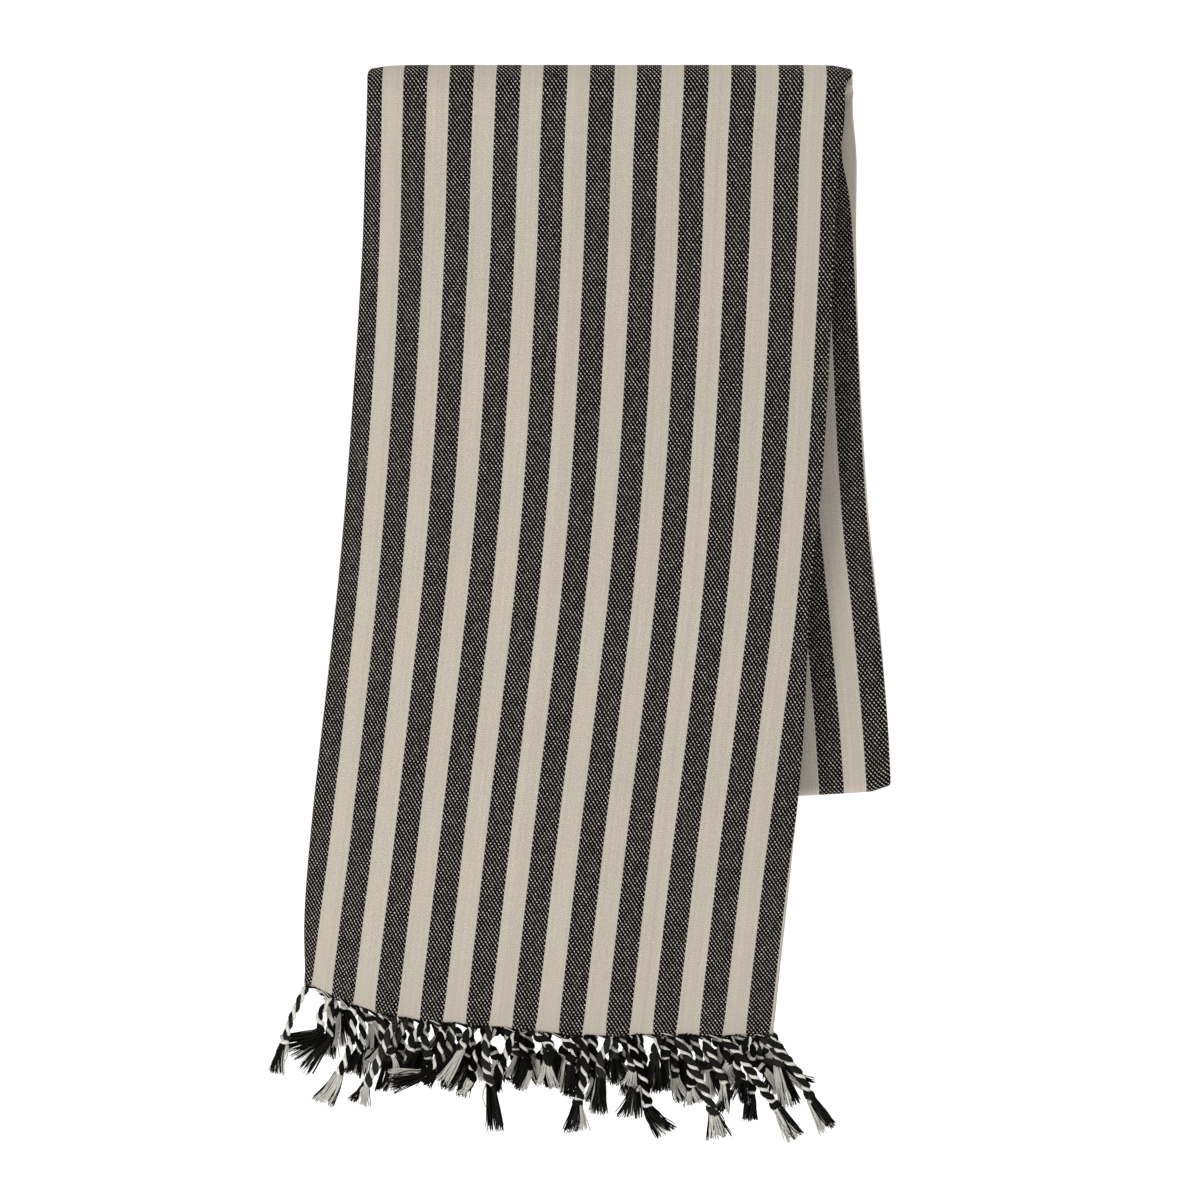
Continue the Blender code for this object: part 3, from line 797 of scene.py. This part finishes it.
def curled_tassels(end):
    """A tassel for each stripe that SHOWN_TASSELS leaves out."""
    generator = random.Random(CURL_SEEDS[end])
    shown = {(tassel.end, tassel.layer, tassel.stripe) for tassel in SHOWN_TASSELS}
    tassels = []
    for layer in range(1, LAYERS + 1):
        stripes = layer_stripes(layer)
        for number, stripe in enumerate(stripes):
            trend = LEAN_LEFT + (LEAN_RIGHT - LEAN_LEFT) * number / (len(stripes) - 1)
            leans = [trend + generator.uniform(-wide, wide) for wide in LEAN_RANGES]
            # The one at the left end leans inwards, so it stays below the cloth.
            if number == 0:
                leans = [abs(lean) for lean in leans]
            cord = generator.uniform(*CORD_LENGTHS)
            tuft_length = generator.uniform(*TUFT_LENGTHS)
            tip = generator.uniform(*TUFT_TIPS)
            black = generator.uniform(0, 360)
            if (end, layer, stripe) not in shown:
                tassels.append(
                    Tassel(end, layer, stripe, *leans, cord, tuft_length, tip, black))
    return tassels


def end_tassels(end):
    return [tassel for tassel in SHOWN_TASSELS if tassel.end == end] + curled_tassels(end)


def lean_at(tassel, along):
    """The lean, in radians, at a distance along a tassel."""
    cord = tassel.cord * MM
    if along <= cord / 2:
        share = ease(along / (cord / 2))
        lean = tassel.root + (tassel.middle - tassel.root) * share
    elif along <= cord:
        share = ease((along - cord / 2) / (cord / 2))
        lean = tassel.middle + (tassel.knot - tassel.middle) * share
    else:
        share = ease((along - cord) / (2 * KNOT_LENGTH))
        lean = tassel.knot + (tassel.tuft - tassel.knot) * share
    return math.radians(lean) * ease(along / ROOT_TURN)


def layer_depth(edge, tassel, height, point):
    """Where a layer's fringe lies from front to back at a point, and its share of full size."""
    across = (point.x - edge.centre.x) / edge.across.x
    across = min(max(across, -edge.left), edge.right)
    drop = place(edge, across, 0.0).z - point.z
    share = min(max(drop / FRINGE_SPREAD_DROP, 0.0), 1.0)
    spread_height = (LAYERS + 0.5 - tassel.layer) * FRINGE_PITCH
    depth = edge.centre.y + edge.out.y * (height + (spread_height - height) * share)
    depth += FACING["front"] * fold_wave("front", edge.drop, across)
    return depth, share


class TasselLine:
    """A tassel's middle line, from the woven edge to the tuft's tip."""

    def __init__(self, edge, section, tassel):
        self.tassel = tassel
        self.root_width = stripe_edge(tassel.stripe) + tie_offset(tassel.end, tassel.layer)
        across, height = on_section(section, self.root_width)
        position = place(edge, across, 0.0)
        length = (tassel.cord + tassel.tuft_length) * MM + KNOT_LENGTH
        along = 0.0
        rows = []
        while along <= length + 2 * PATH_STEP:
            lean = lean_at(tassel, along)
            depth, share = layer_depth(edge, tassel, height, position)
            rows.append((along, position.x, depth, position.z, lean, share))
            position += Vector((math.sin(lean), 0, -math.cos(lean))) * PATH_STEP
            along += PATH_STEP
        self.rows = np.array(rows).T

    def read(self, along):
        """Middle points, leans and depth shares at distances along the tassel."""
        distances = self.rows[0]
        x, y, z, lean, share = (np.interp(along, distances, row) for row in self.rows[1:])
        return np.stack([x, y, z], axis=-1), lean, share


# ---------------------------------------------------------------- strands
class StrandMesh:
    """Collects round strands, each of one dye, and makes one piece of them."""

    def __init__(self):
        self.points = []
        self.dyes = []
        self.faces = []
        self.uvs = []
        self.count = 0

    def add(self, centres, radii, normals, sides, dye, flatten=None):
        """A strand along its centres; flatten squeezes it from front to back."""
        tangents = unit(np.gradient(centres, axis=0))
        normals = unit(normals - (normals * tangents).sum(1, keepdims=True) * tangents)
        binormals = np.cross(tangents, normals)
        turns = np.arange(sides) / sides * math.tau
        rings = centres[:, None, :] + radii[:, None, None] * (
            np.cos(turns)[None, :, None] * normals[:, None, :]
            + np.sin(turns)[None, :, None] * binormals[:, None, :]
        )
        if flatten is not None:
            middle, share = flatten
            rings[:, :, 1] = middle[:, None] + (rings[:, :, 1] - middle[:, None]) * share[:, None]
        run = np.linalg.norm(np.diff(centres, axis=0), axis=1)
        lengths = np.concatenate([[0.0], np.cumsum(run)])
        for ring in range(len(centres) - 1):
            for side in range(sides):
                following = (side + 1) % sides
                low = self.count + ring * sides
                high = low + sides
                self.faces.append((low + side, low + following, high + following, high + side))
                near, far = lengths[ring], lengths[ring + 1]
                left, right = side / sides, (side + 1) / sides
                self.uvs += [(left, near), (right, near), (right, far), (left, far)]
        last = self.count + (len(centres) - 1) * sides
        self.faces.append(tuple(self.count + side for side in reversed(range(sides))))
        self.faces.append(tuple(last + side for side in range(sides)))
        self.uvs += [(0.5, 0.0)] * sides + [(0.5, lengths[-1])] * sides
        self.points.append(rings.reshape(-1, 3))
        self.dyes += [dye] * (len(centres) * sides)
        self.count += len(centres) * sides

    def piece(self, name, material):
        mesh = bpy.data.meshes.new(name)
        mesh.from_pydata(np.concatenate(self.points).tolist(), [], self.faces)
        layer = mesh.uv_layers.new(name="strand")
        layer.data.foreach_set("uv", np.array(self.uvs).ravel())
        dye = mesh.attributes.new("dye", "FLOAT", "POINT")
        dye.data.foreach_set("value", self.dyes)
        mesh.shade_smooth()
        mesh.materials.append(material)
        obj = bpy.data.objects.new(name, mesh)
        bpy.context.scene.collection.objects.link(obj)
        return obj


def unit(vectors):
    return vectors / np.maximum(np.linalg.norm(vectors, axis=-1, keepdims=True), 1e-12)


def eased(values):
    values = np.clip(values, 0.0, 1.0)
    return values * values * (3 - 2 * values)


def by_thickness(line, thin_and_thick):
    """A size of a cord, between its values for the thin ones at the left and the thick ones."""
    thin, thick = thin_and_thick
    right = ease((line.rows[1][0] - THICKENS_FROM) / (THICKENS_TO - THICKENS_FROM))
    return thin + (thick - thin) * right


def faded(dye, generator):
    """A strand's dye, a little nearer to grey: 0 is black and 1 is off-white."""
    return abs(dye - generator.uniform(0.0, MOST_FADED_LIGHT if dye else MOST_FADED_BLACK))


def add_cord(strands, line, generator):
    """The two plies of a cord, laid round each other and wrapped at the knot."""
    cord = line.tassel.cord * MM
    along = np.concatenate([
        np.arange(CORD_START, cord, PLY_STEP),
        np.arange(cord, cord + KNOT_LENGTH + 2 * KNOT_STEP, KNOT_STEP),
    ])
    middles, leans, shares = line.read(along)
    sideways = np.stack([np.cos(leans), np.zeros_like(leans), np.sin(leans)], axis=-1)
    downwards = np.stack([np.sin(leans), np.zeros_like(leans), -np.cos(leans)], axis=-1)
    through_knot = (along - cord + KNOT_MARGIN) / (KNOT_LENGTH + 2 * KNOT_MARGIN)
    knot = np.sin(np.pi * np.clip(through_knot, 0, 1)) ** KNOT_ROUNDING
    formed = eased((along - CORD_START) / (CORD_FORMED - CORD_START))
    formed = START_THICKNESS_SHARE + (1 - START_THICKNESS_SHARE) * formed
    turns = generator.random() + along * by_thickness(line, TURNS_A_METRE)
    turns += generator.uniform(*KNOT_TURNS) * eased((along - cord) / KNOT_LENGTH)
    knot_tilt = generator.choice((-1, 1)) * generator.uniform(*KNOT_TILTS)
    flatness = START_DEPTH_SHARE + (1 - START_DEPTH_SHARE) * shares
    black = by_thickness(line, BLACK_PLY)
    white = by_thickness(line, WHITE_PLY)
    plies = (
        (0.0, 0.0, black, by_thickness(line, BLACK_NESTING) * white),
        (1.0, 0.5, white, by_thickness(line, WHITE_NESTING) * black),
    )
    for dye, half_turn, own, reach in plies:
        angle = math.tau * (turns + half_turn)
        radial = np.cos(angle)[:, None] * sideways
        radial[:, 1] += np.sin(angle)
        orbit = formed * (reach + KNOT_ORBIT * knot)
        centres = middles + radial * orbit[:, None]
        centres += downwards * (knot * knot_tilt * np.cos(angle))[:, None]
        radii = own * formed * (1 + (KNOT_SWELL - 1) * knot)
        tone = faded(dye, generator)
        strands.add(centres, radii, radial, PLY_SIDES, tone, (middles[:, 1], flatness))


def add_gathered_yarns(strands, line, edge, section, generator):
    """The warp ends around a dark stripe, drawn together behind the woven edge into a cord."""
    behind = HALF_LAYER_GAP if line.tassel.end == "a" else -HALF_LAYER_GAP
    for end_number in range(-DARK_ENDS - GATHERED_LIGHT_ENDS, GATHERED_LIGHT_ENDS):
        dye = 0.0 if -DARK_ENDS <= end_number < 0 else 1.0
        width = stripe_edge(line.tassel.stripe) + (end_number + 0.5) * WARP_PITCH
        across, height = on_section(section, width)
        start = np.array(place(edge, across, height, width))
        meeting = line.read(np.array([generator.uniform(*MEETING_DISTANCES)]))[0][0]
        reach = meeting[0] - start[0]
        spread = -math.copysign(generator.uniform(*MEETING_SPREADS), reach)
        finish = meeting + np.array([spread, generator.uniform(*MEETING_DEPTHS), 0])
        start += np.array([0, behind, START_ABOVE_EDGE])
        leaving = start + np.array([reach * LEAVING_SHARE, 0, -LEAVING_DROP])
        rise = generator.uniform(*ARRIVING_RISES)
        arriving = finish + np.array([-reach * ARRIVING_SHARE, behind / 2, rise])
        t = np.linspace(0, 1, GATHERED_YARN_RINGS)[:, None]
        path = (
            start * (1 - t) ** 3 + 3 * leaving * t * (1 - t) ** 2
            + 3 * arriving * t * t * (1 - t) + finish * t ** 3
        )
        thickness = LIGHT_END_SHARE if dye else 1.0
        thickness *= generator.uniform(*GATHERED_YARN_THICKNESSES)
        radii = np.full(len(path), GATHERED_YARN_RADIUS * thickness)
        normals = np.tile([0.0, -1.0, 0.0], (len(path), 1))
        tone = faded(dye, generator)
        strands.add(path, radii, normals, YARN_SIDES, tone)


def add_tuft(strands, line, generator):
    """The loose yarns below a knot: the black ply's on one side, the off-white's opposite."""
    tassel = line.tassel
    start = tassel.cord * MM + KNOT_LENGTH - TUFT_TUCK
    share = by_thickness(line, TUFT_BLACK_SHARE)
    sweep = generator.gauss(0, 1) * TUFT_SWEEP
    lock_leans = [sweep + generator.gauss(0, 1) * LOCK_SPREAD for _ in range(LOCKS)]
    t = np.linspace(0, 1, YARN_RINGS)
    flare_start, flare_end = TUFT_FLARE
    flare = eased(flare_start + (flare_end - flare_start) * t)
    half_width = (TUFT_NECK + (tassel.tip * MM - TUFT_NECK) * flare) / 2
    half_depth = TUFT_NECK / 2 + (TUFT_HALF_DEPTH - TUFT_NECK / 2) * flare
    taper = YARN_RADIUS + (YARN_TIP_RADIUS - YARN_RADIUS) * t ** 2
    normals = np.tile([0.0, -1.0, 0.0], (YARN_RINGS, 1))
    for number in range(TUFT_YARNS):
        turn = (number + generator.random()) / TUFT_YARNS
        angle = math.tau * (turn - share / 2) + math.radians(tassel.black)
        angle += generator.gauss(0, YARN_SCATTER)
        reach = generator.uniform(*YARN_REACHES_SQUARED) ** 0.5
        length = tassel.tuft_length * MM * generator.uniform(*YARN_LENGTHS)
        middles, leans, _ = line.read(start + t * (length + TUFT_TUCK))
        loose = STRAY_LOOSENESS if generator.random() < STRAY_SHARE else 1.0
        turns = generator.uniform(*YARN_WANDER_TURNS)
        wander = loose * generator.gauss(0, YARN_WANDER) * np.sin(t * math.pi * turns)
        curl = loose * generator.gauss(0, YARN_CURL) * t ** 3
        curl += lock_leans[int(turn * LOCKS)] * t ** 2
        right = half_width * math.sin(angle) * reach + wander + curl
        depth = wander * YARN_WANDER_DEPTH_SHARE - half_depth * math.cos(angle) * reach
        centres = middles + np.stack([np.cos(leans) * right, depth, np.sin(leans) * right], axis=-1)
        radii = generator.uniform(*YARN_THICKNESSES) * taper
        dye = 0.0 if turn < share else 1.0
        tone = faded(dye, generator)
        strands.add(centres, radii, normals, YARN_SIDES, tone)


def fringe_pieces(end, material):
    """An end's cords and tufts, as two pieces."""
    edge = woven_edge(end)
    section = folded_section(edge)
    generator = random.Random(YARN_SEEDS[end])
    cords = StrandMesh()
    tufts = StrandMesh()
    for tassel in end_tassels(end):
        line = TasselLine(edge, section, tassel)
        add_cord(cords, line, generator)
        add_gathered_yarns(cords, line, edge, section, generator)
        add_tuft(tufts, line, generator)
    return (
        cords.piece(f"fringe_{end}_cords", material),
        tufts.piece(f"fringe_{end}_tufts", material),
    )


# ---------------------------------------------------------------- materials
class Wiring:
    """Adds nodes to a material, one line for each step of a sum."""

    def __init__(self, name):
        self.material = bpy.data.materials.new(name)
        self.material.use_nodes = True
        self.nodes = self.material.node_tree.nodes
        self.links = self.material.node_tree.links
        self.shader = self.nodes["Principled BSDF"]

    def node(self, kind, inputs=(), **settings):
        made = self.nodes.new(kind)
        for name, value in settings.items():
            setattr(made, name, value)
        for name, value in dict(inputs).items():
            self.feed(made.inputs[name], value)
        return made

    def feed(self, socket, value):
        if isinstance(value, bpy.types.NodeSocket):
            self.links.new(value, socket)
        else:
            socket.default_value = value

    def sum(self, operation, *values):
        made = self.nodes.new("ShaderNodeMath")
        made.operation = operation
        for socket, value in zip(made.inputs, values):
            self.feed(socket, value)
        return made.outputs[0]

    def times(self, first, second):
        return self.sum("MULTIPLY", first, second)

    def set(self, socket, value):
        """Give one of the finish's own sockets a value or a node's result."""
        self.feed(self.shader.inputs[socket], value)

    def smooth(self, value, low, high):
        """0 below low, 1 above high, with a soft step between them."""
        made = self.node(
            "ShaderNodeMapRange",
            {"Value": value, "From Min": low, "From Max": high},
            interpolation_type="SMOOTHSTEP",
        )
        return made.outputs["Result"]

    def scaled(self, value, low, high):
        """A value from 0 to 1, spread from low to high."""
        made = self.node("ShaderNodeMapRange", {"Value": value, "To Min": low, "To Max": high})
        return made.outputs["Result"]

    def mix(self, share, first, second):
        made = self.nodes.new("ShaderNodeMix")
        made.data_type = "RGBA"
        self.feed(made.inputs[0], share)
        for socket, value in ((made.inputs[6], first), (made.inputs[7], second)):
            self.feed(socket, value if isinstance(value, bpy.types.NodeSocket) else (*value, 1))
        return made.outputs[2]

    def shade(self, colour, factor):
        """A colour times a grey factor."""
        made = self.node("ShaderNodeVectorMath", operation="SCALE")
        self.feed(made.inputs[0], colour)
        self.feed(made.inputs["Scale"], factor)
        return made.outputs[0]

    def noise(self, vector, scale, detail=2.0):
        made = self.node("ShaderNodeTexNoise", {"Vector": vector, "Scale": scale, "Detail": detail})
        return made.outputs["Factor"] if "Factor" in made.outputs else made.outputs["Fac"]

    def random_for(self, number, seed):
        """A random share from 0 to 1 for each whole number."""
        made = self.node("ShaderNodeTexWhiteNoise", noise_dimensions="1D")
        self.feed(made.inputs["W"], self.sum("ADD", number, seed))
        return made.outputs["Value"]

    def cloth_noise(self, x, y, grain, detail=2.0):
        """Noise on the flat cloth, with its own grain across the ends and the picks."""
        across, along = (self.times(*pair) for pair in zip((x, y), grain))
        place_on = self.node("ShaderNodeCombineXYZ", {"X": across, "Y": along}).outputs[0]
        return self.noise(place_on, 1.0, detail)

    def finish(self, bump, height, roughness, gloss):
        made = self.node(
            "ShaderNodeBump",
            {"Strength": bump.strength, "Distance": bump.distance, "Height": height},
        )
        self.set("Normal", made.outputs["Normal"])
        self.set("Roughness", roughness)
        self.set("Specular IOR Level", gloss)
        return self.material


def woven_cotton():
    """Plain weave, worked out warp end by warp end and pick by pick from the flat towel."""
    w = Wiring("woven_cotton")
    flat = w.node("ShaderNodeUVMap", uv_map="flat_towel").outputs["UV"]
    split = w.node("ShaderNodeSeparateXYZ", {"Vector": flat})
    first_dark = LAYER_1_MIDDLE + STRIPE_OFFSET - DARK_ENDS / 2 * WARP_PITCH
    from_dark = ENDS_BEFORE - first_dark / WARP_PITCH
    x = w.sum("MULTIPLY_ADD", split.outputs["X"], 1 / WARP_PITCH, from_dark)
    y = w.sum("MULTIPLY_ADD", split.outputs["Y"], 1 / WEFT_PITCH, PICKS_BEFORE)
    warp_end = w.sum("FLOOR", x)
    pick = w.sum("FLOOR", y)
    aside = w.sum("SUBTRACT", w.sum("SUBTRACT", x, warp_end), 0.5)
    along = w.sum("SUBTRACT", w.sum("SUBTRACT", y, pick), 0.5)
    dark = w.sum("LESS_THAN", w.sum("MODULO", warp_end, STRIPE_ENDS), DARK_ENDS - 0.5)
    weft_over = w.sum("MODULO", w.sum("ADD", warp_end, pick), 2.0)

    # Where a pick passes over a warp end, it shows as a small oval between the thick ends.
    crossing = w.sum("MULTIPLY_ADD", pick, CROSSING_STRIDE, warp_end)
    oval_width = w.scaled(w.random_for(crossing, 0.37), *OVAL_HALF_WIDTHS)
    slant = w.scaled(w.random_for(crossing, 0.81), *OVAL_SLANTS)
    slanted = w.sum("ADD", along, w.times(aside, slant))
    oval = w.sum(
        "SQRT",
        w.sum(
            "ADD",
            w.sum("POWER", w.sum("DIVIDE", w.sum("ABSOLUTE", aside), oval_width), 2.0),
            w.sum("POWER", w.sum("DIVIDE", w.sum("ABSOLUTE", slanted), OVAL_HALF_LENGTH), 2.0),
        ),
    )
    shown = w.sum("SUBTRACT", 1.0, w.smooth(oval, *OVAL_EDGE))
    weft_shows = w.times(shown, weft_over)

    # Ends and picks differ a little, and slubs run along them.
    end_tone = w.scaled(w.random_for(warp_end, 0.11), *END_TONES)
    pick_tone = w.scaled(w.random_for(pick, 0.73), *PICK_TONES)
    streaks = w.cloth_noise(x, y, STREAK_GRAIN)
    mottle = w.cloth_noise(x, y, MOTTLE_GRAIN, 3.0)
    fibre = w.cloth_noise(x, y, FIBRE_GRAIN, 1.0)
    tone = w.times(w.scaled(streaks, *STREAK_TONES), w.scaled(mottle, *MOTTLE_TONES))
    tone = w.times(tone, w.scaled(fibre, *FIBRE_TONES))
    # Painted shade: each warp end is darker towards its sides, where the grooves between the round
    # ends lie in shade.
    groove_shade = w.smooth(w.sum("ABSOLUTE", aside), *GROOVE_SHADE_EDGE)

    undyed = w.shade(UNDYED_COTTON, w.times(tone, end_tone))
    dyed = w.shade(DYED_COTTON, w.scaled(fibre, *DYED_FIBRE_TONES))
    warp_colour = w.shade(w.mix(dark, undyed, dyed), w.scaled(groove_shade, *PAINTED_GROOVE_SHADE_TONES))
    oval_tone = w.scaled(w.random_for(crossing, 0.52), *OVAL_TONES)
    recess = w.mix(dark, (1.0, 1.0, 1.0), w.shade(OVAL_TINT, oval_tone))
    weft_colour = w.node("ShaderNodeVectorMath", operation="MULTIPLY")
    w.feed(weft_colour.inputs[0], w.shade(UNDYED_COTTON, w.times(tone, pick_tone)))
    w.feed(weft_colour.inputs[1], recess)
    w.set("Base Color", w.mix(weft_shows, warp_colour, weft_colour.outputs[0]))

    round_end = w.sum("COSINE", w.times(aside, math.pi * WARP_ROUNDNESS))
    float_rise = w.sum("COSINE", w.times(along, math.pi * FLOAT_ROUNDNESS))
    warp_over = w.scaled(w.sum("SUBTRACT", 1.0, weft_over), *WARP_HEIGHTS)
    warp_height = w.times(w.times(round_end, warp_over), float_rise)
    height = w.sum("MAXIMUM", warp_height, w.times(weft_shows, WEFT_HEIGHT))
    height = w.sum("ADD", height, w.times(fibre, FIBRE_HEIGHT))
    return w.finish(WEAVE_BUMP, height, roughness=0.88, gloss=0.015)


def fringe_cotton():
    """Twisted cotton yarn: each strand has its own dye and fine lines round it."""
    w = Wiring("fringe_cotton")
    dye = w.node("ShaderNodeAttribute", attribute_name="dye").outputs["Fac"]
    strand = w.node("ShaderNodeUVMap", uv_map="strand").outputs["UV"]
    split = w.node("ShaderNodeSeparateXYZ", {"Vector": strand})
    turn = w.times(split.outputs["X"], FINE_LINES)
    turn = w.sum("MULTIPLY_ADD", split.outputs["Y"], 1 / FINE_LINE_SPACING, turn)
    lines = w.sum("SINE", w.times(turn, math.tau))
    lines = w.sum("MULTIPLY_ADD", lines, 0.5, 0.5)
    place_on = w.node("ShaderNodeTexCoord").outputs["Object"]
    fuzz = w.noise(place_on, FUZZ_GRAIN)
    patches = w.noise(place_on, PATCH_GRAIN)
    colour = w.mix(dye, DYED_FRINGE, UNDYED_FRINGE)
    tone = w.times(w.scaled(lines, *LINE_TONES), w.scaled(fuzz, *FUZZ_TONES))
    tone = w.times(tone, w.scaled(patches, *PATCH_TONES))
    w.set("Base Color", w.shade(colour, tone))
    height = w.sum("ADD", lines, w.times(fuzz, FUZZ_HEIGHT))
    return w.finish(YARN_BUMP, height, roughness=0.9, gloss=0.0)


def backdrop_paint():
    w = Wiring("backdrop_paint")
    w.set("Base Color", (*BACKDROP_WHITE, 1))
    w.set("Roughness", 0.95)
    w.set("Specular IOR Level", 0.0)
    w.set("Emission Color", (1, 1, 1, 1))
    w.set("Emission Strength", BACKDROP_GLOW)
    return w.material


# ---------------------------------------------------------------- stage, light and camera
def add_backdrop(material):
    """A pale floor below the towel that sweeps up into a wall well behind it."""
    floor_z = CAD_BOX[0].z - FLOOR_GAP
    bpy.ops.object.select_all(action="DESELECT")
    bpy.ops.mesh.primitive_plane_add(size=FLOOR_SIZE, location=(0, FLOOR_MIDDLE_Y, floor_z))
    backdrop = bpy.context.active_object
    backdrop.name = "backdrop"
    bpy.ops.object.mode_set(mode="EDIT")
    bpy.ops.mesh.select_mode(type="EDGE")
    bpy.ops.mesh.select_all(action="DESELECT")
    bpy.ops.object.mode_set(mode="OBJECT")
    back = max(vertex.co.y for vertex in backdrop.data.vertices)
    for edge in backdrop.data.edges:
        edge.select = all(backdrop.data.vertices[i].co.y > back - MM for i in edge.vertices)
    bpy.ops.object.mode_set(mode="EDIT")
    bpy.ops.mesh.extrude_region_move(TRANSFORM_OT_translate={"value": (0, 0, WALL_HEIGHT)})
    bpy.ops.mesh.select_all(action="SELECT")
    bpy.ops.object.mode_set(mode="OBJECT")
    sweep = backdrop.modifiers.new("Sweep", "BEVEL")
    sweep.width = SWEEP_WIDTH
    sweep.segments = SWEEP_STEPS
    bpy.ops.object.modifier_apply(modifier=sweep.name)
    backdrop.data.shade_smooth()
    backdrop.data.materials.append(material)


def add_soft_light(soft, target):
    data = bpy.data.lights.new(soft.name, "AREA")
    data.shape = "SQUARE"
    data.size = soft.size
    data.energy = soft.power
    light = bpy.data.objects.new(soft.name, data)
    light.location = soft.location
    towards = Vector(target) - Vector(soft.location)
    light.rotation_euler = towards.to_track_quat("-Z", "Y").to_euler()
    light.visible_camera = False
    bpy.context.scene.collection.objects.link(light)


def add_lights():
    middle = (CAD_BOX[0] + CAD_BOX[1]) / 2
    add_soft_light(KEY_LIGHT, middle)
    add_soft_light(LOW_FILL, middle)
    add_soft_light(TOP_LIGHT, (0, 0, CAD_BOX[1].z))
    world = bpy.data.worlds.new("studio")
    world.use_nodes = True
    background = world.node_tree.nodes["Background"]
    background.inputs["Color"].default_value = (1, 1, 1, 1)
    background.inputs["Strength"].default_value = SURROUNDING_LIGHT
    bpy.context.scene.world = world
    bpy.context.scene.view_settings.view_transform = "Standard"


def add_camera():
    data = bpy.data.cameras.new("photo_view")
    data.lens = LENS
    data.sensor_width = SENSOR
    camera = bpy.data.objects.new("photo_view", data)
    camera.location = (CAMERA_X, FRONT_FACE_Y - CAMERA_DISTANCE, CAMERA_Z)
    camera.rotation_euler = (math.pi / 2, 0, 0)
    bpy.context.scene.collection.objects.link(camera)
    bpy.context.scene.camera = camera


# ---------------------------------------------------------------- the towel
def dress_towel():
    cloth = cloth_piece(woven_cotton())
    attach(cloth, "root")
    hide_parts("cloth")
    yarn = fringe_cotton()
    for end in ("a", "b"):
        for piece in fringe_pieces(end, yarn):
            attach(piece, "root")
            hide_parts(f"fringe_end_{end}")


add_camera()
add_lights()
add_backdrop(backdrop_paint())
dress_towel()
